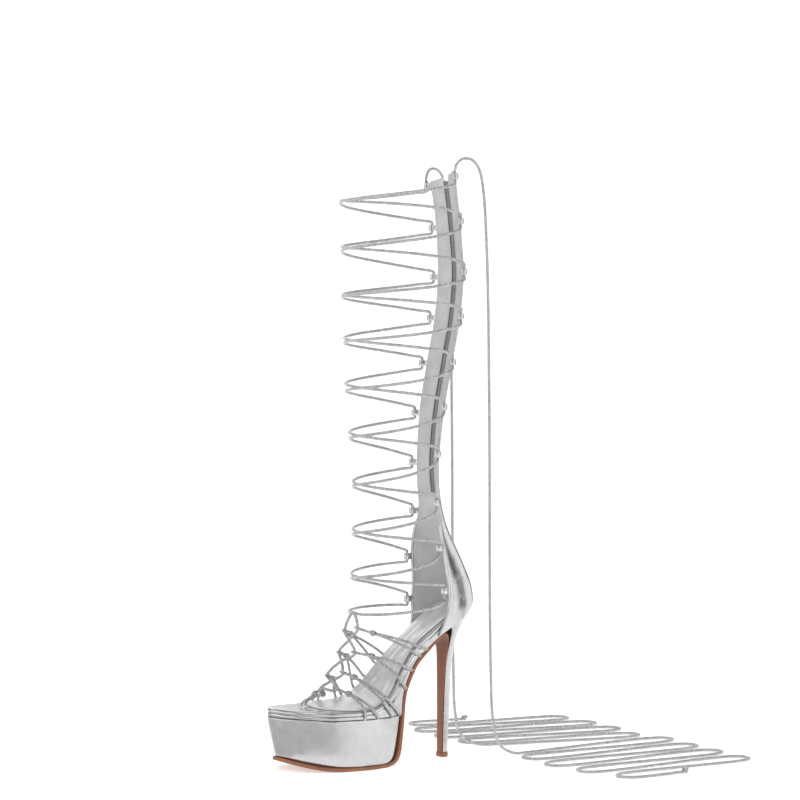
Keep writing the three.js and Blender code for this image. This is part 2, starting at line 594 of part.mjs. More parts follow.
// One strand of the leg lacing, from under one tab round the front to above the next one
// on the other side.
function legStrand(row, side) {
  const from = tabPlace(row, side).eye;
  const to = tabPlace(row + 1, -side).eye;
  const route = [];
  const count = 14;
  for (let i = 0; i <= count; i += 1) {
    const t = i / count;
    const ease = mix(t, THREE.MathUtils.smoothstep(t, 0, 1), 0.7);
    const z = mix(from.z - LACE_CLEAR, to.z + LACE_CLEAR, ease);
    const { middle, radius } = legAt(z);
    const start = Math.atan2(from.y, from.x - middle);
    const stop = Math.atan2(to.y, to.x - middle);
    const near = Math.max(0, 1 - 7 * Math.min(t, 1 - t));
    const eye = t < 0.5 ? from : to;
    const reach = mix(radius, Math.hypot(eye.x - middle, eye.y), near);
    const a = mix(start, stop, t);
    route.push([middle + reach * Math.cos(a), reach * Math.sin(a), z]);
  }
  return route;
}

const legLace = (row) => join(
  tube(legStrand(row, 1), { steps: LEG_STEPS }), tube(legStrand(row, -1), { steps: LEG_STEPS }));

// Where the seam under the footbed's edge runs: on the platform, then along the arch.
const ARCH_ROWS = innerFace().filter(([x, z]) => z > GROOVE_Z && x > SEAT.front).map(([x, z]) => ({ x, z }));
const seamZ = (x) => (x > ARCH_ROWS[0].x ? grooveZ(x) : read(ARCH_ROWS, "z", x));

// A strand of a foot strap: out of the seam, flat against the footbed's side, over its edge
// and on to the knot. Seen from the side it is one straight line.
function strapStrand(x, side, knot) {
  const start = seamZ(x) + LACE / 2;
  const place = (t, y) => [mix(x, knot[0], t), y, mix(start, knot[2], t)];
  const edge = (t) => {
    const at = mix(x, knot[0], t);
    return read(FOOT_ROWS, "mid", at) + side * (read(FOOT_ROWS, "half", at) + LACE / 2 + 2 * GAP);
  };
  const above = (t) => mix(start, knot[2], t) - footTop(mix(x, knot[0], t));
  let over = 0;
  while (over < 1 && above(over) < LACE / 2 + GAP) over += 0.01;
  const onSide = [0, over / 2, over].map((t) => place(t, edge(t)));
  const free = [0.12, 0.5].map((s) => {
    const t = mix(over, 1, s);
    const [px, py, pz] = place(t, mix(edge(over), knot[1], s));
    return [px, py, pz + STRAP_CROWN];
  });
  return [...onSide, ...free, knot];
}

// A foot strap: two strands from the sole's edge to a knot, and a loop of the same cord as its eye.
function strap({ side, ends, knot, eye }) {
  const strands = ends.map((x) => tube(strapStrand(x, side, knot), { steps: 8 }));
  return join(...strands, ball(knot, KNOT), eyeLoop(knot, eye));
}

// A small loop that starts and ends in the knot and turns round at the eye.
function eyeLoop(knot, eye) {
  const along = point(eye).sub(point(knot));
  const across = new THREE.Vector3(0, 0, 1).cross(along).normalize();
  const at = (t, wide) => point(knot).addScaledVector(along, t).addScaledVector(across, wide).toArray();
  const { diameter, half, waist } = LOOP;
  return tube([at(0, waist), at(0.5, half), at(0.85, half), at(1.12, 0), at(0.85, -half), at(0.5, -half),
    at(0, -waist)], { steps: 8, diameter });
}

// The toe loop: two strands that rise from the footbed to a knot, with its eye.
function toePost() {
  const { knot, feet, eye } = TOE_POST;
  const strands = feet.map(([x, y]) => {
    const foot = point([x, y, footTop(x) + LACE / 2]);
    const middle = foot.clone().lerp(point(knot), 0.45);
    return tube([foot.toArray(), middle.toArray(), knot], { steps: 5 });
  });
  return join(...strands, ball(knot, KNOT), eyeLoop(knot, eye));
}

// The pull tab, hung on the slider's bridge: a flat plate with a hole at its upper end.
function zipPull() {
  const { length, top, shoulder, half, neck, thick, hole } = PULL;
  const outline = new THREE.Shape();
  outline.moveTo(-neck, top);
  outline.lineTo(-half, top - shoulder);
  outline.absarc(0, top - length + half, half, Math.PI, 2 * Math.PI, false);
  outline.lineTo(neck, top);
  const eye = new THREE.Path();
  eye.absarc(0, 0, hole, 0, 2 * Math.PI, true);
  outline.holes.push(eye);
  const plate = new THREE.ExtrudeGeometry(outline, { depth: thick, bevelEnabled: false, curveSegments: 8 });
  return plate.rotateX(Math.PI / 2).rotateZ(-Math.PI / 2).translate(thick / 2, 0, 0);
}

// A straight strand between two eyes, stopping short of both.
function footStrand(from, to) {
  const way = point(to).sub(point(from)).normalize().multiplyScalar(EYE_CLEAR);
  const [start, stop] = [point(from).add(way), point(to).sub(way)];
  const middle = start.clone().lerp(stop, 0.5);
  return [start, middle, stop].map((p) => p.toArray());
}

// The foot lacing crosses between two pairs of eyes.
const footLace = (lower, upper) => join(
  tube(footStrand(lower[0], upper[1]), { steps: 3 }), tube(footStrand(lower[1], upper[0]), { steps: 3 }));

// The last crossing: each strand comes round the ankle from a lowest tab, passes over the apex
// and ends above the highest eye on the other side.
function ankleStrand(side) {
  const { eye } = tabPlace(TAB_ROWS.length - 1, side);
  const start = Math.atan2(eye.y, eye.x - APEX_ROUND);
  const radius = Math.hypot(eye.x - APEX_ROUND, eye.y);
  const route = [];
  for (let i = 0; i < 8; i += 1) {
    const t = i / 8;
    const a = mix(start, 0, t);
    const reach = mix(radius, APEX[0] - APEX_ROUND, t);
    const z = mix(eye.z - LACE_CLEAR, APEX[2], THREE.MathUtils.smoothstep(t, -0.6, 1));
    route.push([APEX_ROUND + reach * Math.cos(a), reach * Math.sin(a), z]);
  }
  const far = STRAP_ROWS[side > 0 ? 4 : 0].eye;
  const [, , stop] = footStrand(APEX, far);
  return [...route, APEX, stop];
}

const ankleLace = () => join(
  tube(ankleStrand(1), { steps: LEG_STEPS }), tube(ankleStrand(-1), { steps: LEG_STEPS }));

// A tie: a tube along its route, with a small knot at its free end.
function tie(route) {
  const [x, y] = route[route.length - 1];
  return join(tube(route, { steps: TIE_STEPS, sides: TIE_SIDES }), ball([x, y, KNOT], KNOT));
}

// ---- assembly ----
add("outsole", outsole(), tan);
add("platform", platform(), silver);
add("footbed", footbed(), silver);
add("insole", insole(), sock);
add("heel", heel(), silver);
add("toplift", toplift(), tan);
add("upper", upper(), silver);
add("zip", zipBand(ZIP.half, 0.2, 0.2 + ZIP.thick, ZIP.bottom + 0.5, STRIP_TOP.z - 3), zipper);
add("zip_slider", zipSlider(), metal);

const edges = [[1, "outer"], [-1, "inner"]];
for (const [side, word] of edges) {
  TAB_ROWS.forEach((_, row) => add(`tab_${word}_${row + 1}`, tab(row, side), silver));
}
for (const row of STRAP_ROWS) add(`strap_${row.name}`, strap(row), cord);
add("toe_post", toePost(), cord);
for (let row = 0; row + 1 < TAB_ROWS.length; row += 1) add(`leg_lace_${row + 1}`, legLace(row), cord);
for (const level of [0, 1, 2]) {
  const pair = (n) => [STRAP_ROWS[n].eye, STRAP_ROWS[n + 4].eye];
  add(`foot_lace_${level + 1}`, footLace(pair(level + 1), pair(level)), cord);
}
add("ankle_lace", ankleLace(), cord);
const pull = add("zip_pull", zipPull(), metal);
pull.position.set(wallAt(SLIDER.z).back - PULL_OUT, 0, SLIDER.z);
add("tie_outer", tie(OUTER_TIE), cord);
add("tie_inner", tie(INNER_TIE), cord);

export default sandal;
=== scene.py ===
"""Looks of a knee-high gladiator sandal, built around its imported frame."""
import math

import bmesh
import bpy
from bpy.props import FloatProperty, FloatVectorProperty, IntProperty, PointerProperty
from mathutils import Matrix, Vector


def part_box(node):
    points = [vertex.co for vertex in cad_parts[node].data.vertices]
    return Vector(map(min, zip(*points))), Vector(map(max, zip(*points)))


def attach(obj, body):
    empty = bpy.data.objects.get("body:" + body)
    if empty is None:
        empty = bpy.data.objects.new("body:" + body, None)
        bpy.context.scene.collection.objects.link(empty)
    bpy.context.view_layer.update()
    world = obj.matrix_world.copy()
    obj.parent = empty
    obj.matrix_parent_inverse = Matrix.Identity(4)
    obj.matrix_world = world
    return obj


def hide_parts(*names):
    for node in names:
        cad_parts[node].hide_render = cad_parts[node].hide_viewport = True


bl_info = {
    "name": "Gladiator sandal",
    "version": (1, 0, 0),
    "blender": (4, 5, 0),
    "location": "View3D > Sidebar > Sandal",
    "description": "Builds the sandal's leather, cord and zip around its frame",
    "category": "Object",
}

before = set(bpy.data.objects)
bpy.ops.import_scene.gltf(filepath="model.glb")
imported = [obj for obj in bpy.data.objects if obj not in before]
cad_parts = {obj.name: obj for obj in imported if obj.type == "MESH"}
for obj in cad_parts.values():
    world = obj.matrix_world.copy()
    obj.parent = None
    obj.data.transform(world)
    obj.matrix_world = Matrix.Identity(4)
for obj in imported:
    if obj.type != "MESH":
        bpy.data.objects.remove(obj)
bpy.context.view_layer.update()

MM = 0.001                      # all shapes below are in millimetres
TAU = 2 * math.pi
GAP = 0.35                      # between one solid and the next
WALL = 2.1                      # the upper's thickness
CORD = 3.0                      # the lace's diameter
FLOOR = CORD / 2 + 0.25         # how high a tie's middle lies on the floor
TAB_HEIGHT, TAB_THICK = 6.0, 1.1
TAB_EYE, TAB_REACH = 2.3, 5.6   # the eye's radius, and how far it stands off the strip's edge
LACE_CLEAR = TAB_HEIGHT / 2 + CORD / 2 + 2 * GAP
HEEL_END, TOE_END = -148, 71    # the foot's outline in plan
SEAT_FRONT, SEAT_Z, SEAT_SLOPE, SEAT_LIFT = -99.5, 124.5, 0.58, 0.65
ZIP_BOTTOM, ZIP_TOP, ZIP_HALF, ZIP_SLOT = 262.0, 577.0, 4.0, 4.4
SLIDER_Z = 556.0
GROOVE_Z, SOLE_THICK = 50.0, 3.6
PLATFORM_BACK = -53.0           # where the footbed leaves the platform and follows the arch
TIP_FRONT, TIP_BACK, TIP_HALF, TIP_HEIGHT = -113.2, -122.6, 5.9, 4.6
SOCK_HEEL, SOCK_TOE = -139.0, 29.5
STRIP_TOP, STITCH_TOP, COUNTER_TOP = 577, 572, 236
WORD = {1: "outer", -1: "inner"}


# ---------------------------------------------------------------- tables
class Table:
    """Rows with named columns, read smoothly along the first column."""

    def __init__(self, columns, rows):
        self.columns = columns.split()
        self.rows = [dict(zip(self.columns, row)) for row in rows]

    def read(self, key, at):
        """One column's value at a place along the first column."""
        by, rows = self.columns[0], self.rows
        last = len(rows) - 1
        i = 0
        while i < last - 1 and at > rows[i + 1][by]:
            i += 1
        span = rows[i + 1][by] - rows[i][by]
        t = min(max((at - rows[i][by]) / span, 0), 1)

        def slope(j):
            a, b = rows[max(j - 1, 0)], rows[min(j + 1, last)]
            return (b[key] - a[key]) / (b[by] - a[by])

        t2, t3 = t * t, t * t * t
        return ((2 * t3 - 3 * t2 + 1) * rows[i][key] + (t3 - 2 * t2 + t) * span * slope(i)
                + (3 * t2 - 2 * t3) * rows[i + 1][key] + (t3 - t2) * span * slope(i + 1))


FOOT = Table("x mid half", [
    (-148, 0, 27.5), (-120, 0, 27), (-97, 0, 24.5), (-76, 0.5, 22.5), (-55, 0.5, 28),
    (-35, 0.5, 37), (-10, 0.5, 41.5), (10, -1, 41), (30, -4, 39), (50, -8, 37), (71, -13, 35)])
TOP = Table("x z", [
    (-150, 161), (-130, 152.5), (-108, 141), (-97, 133.8), (-87, 126.5), (-76, 118), (-66, 108),
    (-51.6, 91), (-42, 77.5), (-32, 67.5), (-20, 61.3), (-5, 58.8), (15, 58.5), (45, 59.2),
    (72, 60.6)])
SOLE = Table("x z mid half thick", [
    (65.5, 9.6, -11, 33, 3.6), (48, 4.6, -7.5, 35, 3.6), (30, 1.2, -4, 36, 3.6),
    (14, 0, -1.5, 37, 3.6), (-10, 0, 0, 37.5, 3.6), (-34, 0, 0, 33, 3.6), (-45.5, 3.4, 0, 30.5, 3.6),
    (-50.8, 10, 0.5, 29.3, 3.6), (-54.6, 30, 0.5, 28.6, 3.6), (-56.8, 50, 0.5, 28.2, 3.6),
    (-58.9, 66, 0.5, 27.4, 3.6), (-62.5, 76, 0.5, 26.4, 3.6), (-66.8, 83.9, 0.5, 25.2, 3.6),
    (-74.7, 96.1, 0.5, 23.4, 3.6), (-82.3, 103.6, 0.5, 22.4, 3.6), (-88.6, 108.9, 0, 22.2, 3.6),
    (-94.8, 114.5, 0, 22, 3.6), (-100.5, 119, 0, 21.5, 3.6), (-107.2, 122.4, 0, 20, 3.2),
    (-111.8, 121.8, 0, 17.6, 2.6), (-114.9, 117, 0, 13.6, 2), (-115.8, 108, 0, 10.4, 1.8),
    (-114.9, 90, 0, 7.6, 1.8), (-113.9, 60, 0, 5.6, 1.8), (-113.4, 30, 0, 4.6, 1.8),
    (-113, 5, 0, 4.2, 1.8)])
HEEL = Table("z back half", [
    (5, -122.8, 5.7), (30, -124, 6.2), (60, -125.4, 7.4), (90, -126.9, 9.6), (105, -128.8, 12.5),
    (115, -130.4, 16), (126, -133.9, 20.5), (137, -139.4, 24), (152, -148, 26.6)])
UPPER = Table("z back depth half inner outer level", [
    (153.9, -149.6, 40, 27.2, 108, 108, 0), (158, -149.8, 40, 27.4, 107, 99, 0.15),
    (165, -149, 40, 27.6, 105, 90, 0.4), (175, -146.3, 40, 27.6, 100, 86, 0.7),
    (190, -139.4, 39, 27.6, 92, 81, 0.9), (206, -131.2, 38, 28, 82, 74, 1),
    (222, -122.4, 35, 28, 69, 66, 1), (236, -116, 33, 29, 54, 59, 1),
    (252, -111.4, 32, 30, 43, 51, 1), (275, -107.6, 35, 34, 36, 43, 1),
    (300, -106.8, 38, 38, 32, 38, 1), (346, -111.5, 45, 45, 29.5, 29.5, 1),
    (392, -120.6, 50, 50, 28, 24.5, 1), (438, -129.4, 56, 56, 25, 20.5, 1),
    (480, -133, 60, 60, 23.5, 19.5, 1), (529, -129, 59, 59, 22, 21.5, 1),
    (577, -122.3, 58, 58, 22.3, 22.3, 1)])
TABS = Table("tab outer inner", [
    (1, 576, 568.4), (2, 532.1, 526.8), (3, 482.5, 477.5), (4, 438.6, 436.9), (5, 393.6, 391.6),
    (6, 349.5, 342.4), (7, 303.4, 293.3), (8, 255.7, 244.8), (9, 210.9, 199), (10, 168.5, 156.6)])
LEG = Table("z middle radius", [
    (150, -66, 48), (182, -66, 46.5), (232, -65, 44), (278, -63.5, 42.6), (324, -63.5, 46),
    (362, -63.9, 49.7), (405, -68.5, 55), (455, -72.7, 60.5), (509, -70.5, 59.5), (556, -67.5, 58)])
STRAPS = [dict(zip(("name", "side", "ends", "knot", "eye"), row)) for row in (
    ("outer_1", 1, (-84.2, -77), (-27.6, 16, 130), (-14.5, 8, 135)),
    ("outer_2", 1, (-66.5, -57.5), (-25.8, 16, 107.8), (-11, 8, 111.5)),
    ("outer_3", 1, (-48, -36.3), (-6.5, 16, 88.7), (2.4, 8, 93)),
    ("outer_4", 1, (-18.2, -3.5), (-0.9, 15, 72.5), (9.6, 7, 77.6)),
    ("inner_1", -1, (-71, -63.4), (-21, -16, 126.5), (-9.5, -8, 131.4)),
    ("inner_2", -1, (-56.4, -47.4), (-16.5, -16, 105), (-3.4, -8, 110.3)),
    ("inner_3", -1, (-38, -26), (-1.5, -17, 83.5), (9.2, -9, 88.3)),
    ("inner_4", -1, (-6, 6), (8, -20.5, 69), (14.8, -12.8, 74.4)))]
POST_KNOT, POST_EYE = (24, -8, 71.5), (17.6, -4.6, 77.2)
POST_FEET = [(37.8, -10), (31, -14)]
APEX, APEX_ROUND = (-14.5, 0, 148.5), -66

def on_floor(*places):
    """The points of a cord that lies on the floor."""
    return [(x, y, FLOOR) for x, y in places]


OUTER_TIE = [
    (-114.6, 26.8, 580.6), (-115.8, 27.6, 587), (-121.5, 29.6, 593), (-131, 31.8, 592.4),
    (-138.5, 33.2, 584), (-143, 34, 565), (-147, 35, 500), (-150, 35, 350), (-152, 35, 90),
    (-155, 35.5, 34), (-162, 36, 13), (-178, 35, 3.4),
    *on_floor(
        (-202, 32), (-240, 28), (-366, 22), (-375, 33), (-366, 45), (-184, 49), (-175, 60), (-183, 72),
        (-362, 68), (-371, 79), (-364, 91), (-180, 95), (-171, 106), (-179, 118), (-360, 112),
        (-369, 123), (-362, 135), (-186, 141), (-177, 152), (-184, 164), (-358, 158), (-367, 169),
        (-360, 181), (-200, 187), (-191, 198), (-200, 209), (-262, 209))]
INNER_TIE = [
    (-114.8, -27.2, 573), (-116, -28, 579.5), (-121.7, -30, 585.5), (-131, -32, 584.9),
    (-138.5, -33.2, 576.5), (-143, -34, 557.5), (-147, -35, 500), (-150, -35, 350), (-152, -35, 90),
    (-155, -35.5, 34), (-162, -36, 13), (-178, -33, 3.4),
    *on_floor(
        (-203, -27), (-240, -19), (-352, 1), (-363, -7), (-357, -20), (-186, -48), (-177, -58),
        (-183, -71), (-360, -44), (-371, -53), (-364, -67), (-184, -92), (-175, -102), (-181, -115),
        (-362, -90), (-372, -100), (-365, -113), (-186, -136), (-177, -146), (-184, -159),
        (-358, -137), (-368, -146), (-362, -159), (-204, -178), (-195, -188), (-202, -200),
        (-266, -194))]


# ---------------------------------------------------------------- curves and forms
def climb(start, stop, step):
    """Heights from start up to stop."""
    while start <= stop:
        yield start
        start += step


def mix(a, b, t):
    """The value a share `t` of the way from a to b."""
    return a + (b - a) * t


def smoothstep(at, low, high):
    """0 up to `low` and 1 from `high` on, with a soft change between."""
    t = min(max((at - low) / (high - low), 0), 1)
    return t * t * (3 - 2 * t)


def rounding(distance, reach):
    """A quarter-round ending: 0 at the tip, 1 once `reach` away from it."""
    return math.sqrt(max(0.0, 1 - max(0.0, 1 - distance / reach) ** 2))


class Course:
    """A smooth curve through points of any number of values, read from 0 to 1."""

    def __init__(self, points):
        self.points = [tuple(p) for p in points]
        self.count = len(self.points) - 1
        steps = self.count * 24
        samples = [self.at(i / steps) for i in range(steps + 1)]
        self.runs = [0.0]
        for a, b in zip(samples, samples[1:]):
            self.runs.append(self.runs[-1] + math.dist(a, b))
        self.length = self.runs[-1]

    def at(self, t):
        """The place at reading t, on a centripetal curve."""
        pts, last = self.points, self.count
        place = min(max(t, 0), 1) * last
        i = min(int(place), last - 1)
        w = place - i
        p1, p2 = pts[i], pts[i + 1]
        p0 = pts[i - 1] if i > 0 else tuple(2 * a - b for a, b in zip(pts[0], pts[1]))
        p3 = pts[i + 2] if i + 2 <= last else tuple(2 * a - b for a, b in zip(pts[-1], pts[-2]))
        d0, d1, d2 = (max(math.dist(a, b), 1e-6) ** 0.5 for a, b in ((p0, p1), (p1, p2), (p2, p3)))
        out = []
        for a, b, c, d in zip(p0, p1, p2, p3):
            m1 = (b - a) / d0 - (c - a) / (d0 + d1) + (c - b) / d1
            m2 = (c - b) / d1 - (d - b) / (d1 + d2) + (d - c) / d2
            m1, m2 = m1 * d1, m2 * d1
            out.append(b + m1 * w + (3 * (c - b) - 2 * m1 - m2) * w * w
                       + (2 * (b - c) + m1 + m2) * w * w * w)
        return tuple(out)

    def fraction(self, run):
        """The reading whose distance along the curve is `run`."""
        run = min(max(run, 0), self.length)
        low, high = 0, len(self.runs) - 1
        while high - low > 1:
            half = (low + high) // 2
            if self.runs[half] <= run:
                low = half
            else:
                high = half
        span = self.runs[high] - self.runs[low] or 1
        return (low + (run - self.runs[low]) / span) / (len(self.runs) - 1)

    def spaced(self, step):
        """Places about `step` apart along the whole curve."""
        count = max(2, round(self.length / step))
        return [self.at(self.fraction(self.length * i / count)) for i in range(count + 1)]


class Form:
    """Points and faces of one piece, gathered before they become a mesh."""

    def __init__(self):
        self.points, self.faces, self.corners, self.slots = [], [], [], []

    def face(self, indices, corners=None, slot=0):
        """One face, with a texture place for each corner and its finish's number."""
        self.faces.append(indices)
        self.corners.append(corners or [(0.0, 0.0)] * len(indices))
        self.slots.append(slot)

    def rings(self, rings, slot=0, caps="fan", runs=None):
        """Joins rings of points. caps: fan, strips (from side to side) or None."""
        base, n = len(self.points), len(rings[0])
        for ring in rings:
            self.points.extend(ring)
        if runs is None:
            runs = range(len(rings))
        for i in range(len(rings) - 1):
            for k in range(n):
                m = (k + 1) % n
                a, b = base + i * n, base + (i + 1) * n
                u0, u1, v0, v1 = k / n, (k + 1) / n, runs[i], runs[i + 1]
                self.face((a + k, a + m, b + m, b + k), [(u0, v0), (u1, v0), (u1, v1), (u0, v1)], slot)
        for end in (base, base + (len(rings) - 1) * n) if caps else ():
            if caps == "fan":
                self.face(tuple(end + k for k in range(n)), None, slot)
            else:
                for k in range(n // 2 - 1):
                    self.face((end + k, end + k + 1, end + n - 2 - k, end + n - 1 - k), None, slot)
        return self

    def sweep(self, line, section, up=None, slot=0, scale=None):
        """A section of (side, lift) points drawn along a line of points."""
        pts = [Vector(p) for p in line]
        count = len(pts)
        rings, runs, run, side = [], [], 0.0, None
        for i, p in enumerate(pts):
            heading = (pts[min(i + 1, count - 1)] - pts[max(i - 1, 0)]).normalized()
            if up is not None:
                side = heading.cross(Vector(up)).normalized()
            elif side is None:
                side = heading.orthogonal().normalized()
            else:
                side = (side - heading * side.dot(heading)).normalized()
            lift = side.cross(heading)
            size = scale(i / (count - 1)) if scale else 1
            rings.append([tuple(p + side * (a * size) + lift * (b * size)) for a, b in section])
            if i:
                run += (p - pts[i - 1]).length
            runs.append(run)
        return self.rings(rings, slot, "fan", runs)

    def cord(self, route, diameter=CORD, step=1.5, sides=12, slot=0):
        """A round cord along a smooth curve through the route's points."""
        return self.sweep(Course(route).spaced(step), circle(diameter / 2, sides), slot=slot)

    def build(self, name, *finishes, sharp=42):
        """The object, with edges sharper than `sharp` degrees left hard."""
        mesh = bpy.data.meshes.new(name)
        mesh.from_pydata([(x * MM, y * MM, z * MM) for x, y, z in self.points], [], self.faces)
        for finish in finishes:
            mesh.materials.append(finish)
        mesh.polygons.foreach_set("material_index", self.slots)
        layer = mesh.uv_layers.new(name="along")
        flat = [value for corners in self.corners for corner in corners for value in corner]
        layer.data.foreach_set("uv", flat)
        shape = bmesh.new()
        shape.from_mesh(mesh)
        bmesh.ops.remove_doubles(shape, verts=shape.verts, dist=1e-7)
        bmesh.ops.dissolve_degenerate(shape, edges=shape.edges, dist=1e-7)
        bmesh.ops.recalc_face_normals(shape, faces=shape.faces)
        shape.to_mesh(mesh)
        shape.free()
        mesh.shade_smooth()
        mesh.set_sharp_from_angle(angle=math.radians(sharp))
        piece = bpy.data.objects.new(name, mesh)
        bpy.context.scene.collection.objects.link(piece)
        return piece


def circle(radius, sides):
    """A round section for a sweep."""
    return [(radius * math.cos(TAU * k / sides), radius * math.sin(TAU * k / sides))
            for k in range(sides)]


def slab(half, thick, corner, steps=3):
    """A rounded bar's outline: `half` to each side and `thick` high, centred."""
    corner = min(corner, half * 0.98, thick * 0.49)
    out = []
    for sx, sy, start in ((1, 1, 0), (-1, 1, 90), (-1, -1, 180), (1, -1, 270)):
        for k in range(steps + 1):
            a = math.radians(start + 90 * k / steps)
            out.append((sx * (half - corner) + corner * math.cos(a),
                        sy * (thick / 2 - corner) + corner * math.sin(a)))
    return out


def finish_piece(piece, slot, *nodes, body="shoe"):
    """Ties a piece to its body, and hides the CAD nodes it replaces."""
    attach(piece, body)
    if nodes:
        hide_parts(*nodes)
    return piece


# ---------------------------------------------------------------- shader maths
class Wire:
    """A shader socket that can be used in Python expressions."""

    def __init__(self, tree, socket):
        self.tree, self.socket = tree, socket

    def math(self, operation, *values):
        """One Math node on wires and numbers."""
        node = self.tree.nodes.new("ShaderNodeMath")
        node.operation = operation
        for socket, value in zip(node.inputs, values):
            if isinstance(value, Wire):
                self.tree.links.new(value.socket, socket)
            else:
                socket.default_value = value
        return Wire(self.tree, node.outputs[0])

    def __add__(self, other):
        return self.math("ADD", self, other)

    def __sub__(self, other):
        return self.math("SUBTRACT", self, other)

    def __rsub__(self, other):
        return self.math("SUBTRACT", other, self)

    def __mul__(self, other):
        return self.math("MULTIPLY", self, other)

    __radd__, __rmul__ = __add__, __mul__

    def sin(self):
        return self.math("SINE", self)

    def abs(self):
        return self.math("ABSOLUTE", self)

    def power(self, other):
        return self.math("POWER", self, other)

    def ease(self, low, high):
        """0 below `low` and 1 above `high`, with a soft change between."""
        node = self.tree.nodes.new("ShaderNodeMapRange")
        node.interpolation_type = "SMOOTHSTEP"
        node.inputs["From Min"].default_value = low
        node.inputs["From Max"].default_value = high
        self.tree.links.new(self.socket, node.inputs["Value"])
        return Wire(self.tree, node.outputs["Result"])


class Finish:
    """A material under construction: one Principled shader and what feeds it."""

    def __init__(self, name, **constants):
        self.material = bpy.data.materials.new(name)
        self.material.use_nodes = True
        self.tree = self.material.node_tree
        self.shader = self.tree.nodes["Principled BSDF"]
        for key, value in constants.items():
            self.shader.inputs[key.replace("_", " ").title().replace("Ior", "IOR")].default_value = value
        self.color = tuple(self.shader.inputs["Base Color"].default_value)
        coordinates = self.node("ShaderNodeTexCoord")
        self.place = self.output(coordinates, "Object")
        self.along = self.output(coordinates, "UV")

    def node(self, kind, settings=None, **inputs):
        """Any node: its settings first, then the values or links of its sockets."""
        node = self.tree.nodes.new(kind)
        for key, value in (settings or {}).items():
            setattr(node, key, value)
        for key, value in inputs.items():
            socket = node.inputs[int(key[1:])] if key[1:].isdigit() else node.inputs[key.replace("_", " ")]
            if isinstance(value, Wire):
                self.tree.links.new(value.socket, socket)
            else:
                socket.default_value = value
        return node

    def output(self, node, name=0):
        """One of a node's outputs, as a wire."""
        return Wire(self.tree, node.outputs[name])

    def noise(self, per_metre, detail=3.0, roughness=0.5, stretch=None, distortion=0.0):
        """Soft noise over the piece's own coordinates, drawn out along an axis if stretched."""
        place = self.place
        if stretch:
            place = self.output(self.node("ShaderNodeMapping", Vector=place, Scale=stretch), "Vector")
        return self.output(self.node(
            "ShaderNodeTexNoise", Vector=place, Scale=per_metre, Detail=detail,
            Roughness=roughness, Distortion=distortion), "Fac")

    def cells(self, per_metre):
        """Pebbled grain."""
        grain = self.node("ShaderNodeTexVoronoi", Vector=self.place, Scale=per_metre)
        return self.output(grain, "Distance")

    def split(self, vector):
        """A vector's three values."""
        node = self.node("ShaderNodeSeparateXYZ", Vector=vector)
        return [self.output(node, axis) for axis in "XYZ"]

    def blend(self, amount, first, second):
        """A colour between two colours."""
        node = self.node("ShaderNodeMix", {"data_type": "RGBA"}, _0=amount, _6=first, _7=second)
        return self.output(node, 2)

    def feed(self, name, wire):
        """Links a wire to one of the shader's sockets."""
        self.tree.links.new(wire.socket, self.shader.inputs[name])

    def tones(self, amount, dark, light):
        """The base colour, between a darker and a lighter share of itself."""
        self.feed("Base Color", self.blend(amount, shade(self.color, dark), shade(self.color, light)))

    def bump(self, *layers):
        """Heights in millimetres, each with its own depth, laid over each other."""
        normal = None
        for height, depth in layers:
            node = self.node("ShaderNodeBump", Height=height, Distance=depth * MM)
            if normal is not None:
                self.tree.links.new(normal.socket, node.inputs["Normal"])
            normal = self.output(node, "Normal")
        self.feed("Normal", normal)
        return self.material


def shade(color, amount):
    """A colour made darker or lighter."""
    return tuple(min(1, c * amount) for c in color[:3]) + (1.0,)


def finish(name, color, **constants):
    """Makes the material that a function describes, once for all the pieces that share it.

    color is three numbers or the name of a setting. The function returns the bump's layers."""
    def wrap(describe):
        def get():
            found = bpy.data.materials.get(name)
            if found:
                return found
            base = getattr(bpy.context.scene.sandal_colours, color) if isinstance(color, str) else color
            f = Finish(name, base_color=(*base, 1), **constants)
            return f.bump(*describe(f))
        return get
    return wrap


@finish("silver foil", "silver", metallic=1.0, roughness=0.24)
def silver(f):
    """Foil-faced leather: bright and smooth, softly wavy, with a very fine grain."""
    cloud = f.noise(120, 4).ease(0.3, 0.72)
    grain = f.noise(1300, roughness=0.6)
    f.tones(cloud * 0.85 + grain * 0.15, 0.94, 1.04)
    f.feed("Roughness", 0.18 + cloud * 0.08 + grain * 0.04)
    return (f.noise(42, 1.5), 1.1), (f.noise(200, 2, distortion=0.5), 0.05), (grain, 0.008)


@finish("tan sole leather", "tan", roughness=0.45, specular_ior_level=0.4)
def tan(f):
    """Sole leather: smooth and satin, a little darker in its pores."""
    streak = f.noise(130, 4, stretch=(0.3, 1.6, 0.3))
    pores = f.noise(1400, roughness=0.65)
    f.tones((streak * 0.7 + pores * 0.3).ease(0.3, 0.72), 0.78, 1.2)
    f.feed("Roughness", 0.36 + streak.ease(0.3, 0.7) * 0.14 + pores * 0.1)
    return (streak, 0.12), (pores, 0.05)


@finish("pale sock leather", "sock", metallic=0.35, roughness=0.42)
def sock(f):
    """The pale sock: a soft metallic kid with shallow wrinkles, with shade painted into their troughs."""
    wrinkle = f.noise(60, 2, roughness=0.45, distortion=0.6)
    grain = f.noise(1100, roughness=0.6)
    # Painted shade: the colour is darker in the wrinkles' troughs and lighter on their crests.
    f.tones(wrinkle.ease(0.3, 0.7), 0.93, 1.05)
    f.feed("Roughness", 0.32 + f.noise(300).ease(0.3, 0.7) * 0.1 + grain * 0.05)
    return (wrinkle, 0.8), (grain, 0.02)


@finish("grey lining", "lining", roughness=0.55)
def lining(f):
    """The plain grey lining inside the counter and the strip."""
    grain = f.noise(1500, roughness=0.6)
    f.tones((f.noise(70) * 0.7 + grain * 0.3).ease(0.3, 0.7), 0.9, 1.08)
    f.feed("Roughness", 0.48 + grain * 0.16)
    return (f.cells(1250), 0.05), (grain, 0.04)


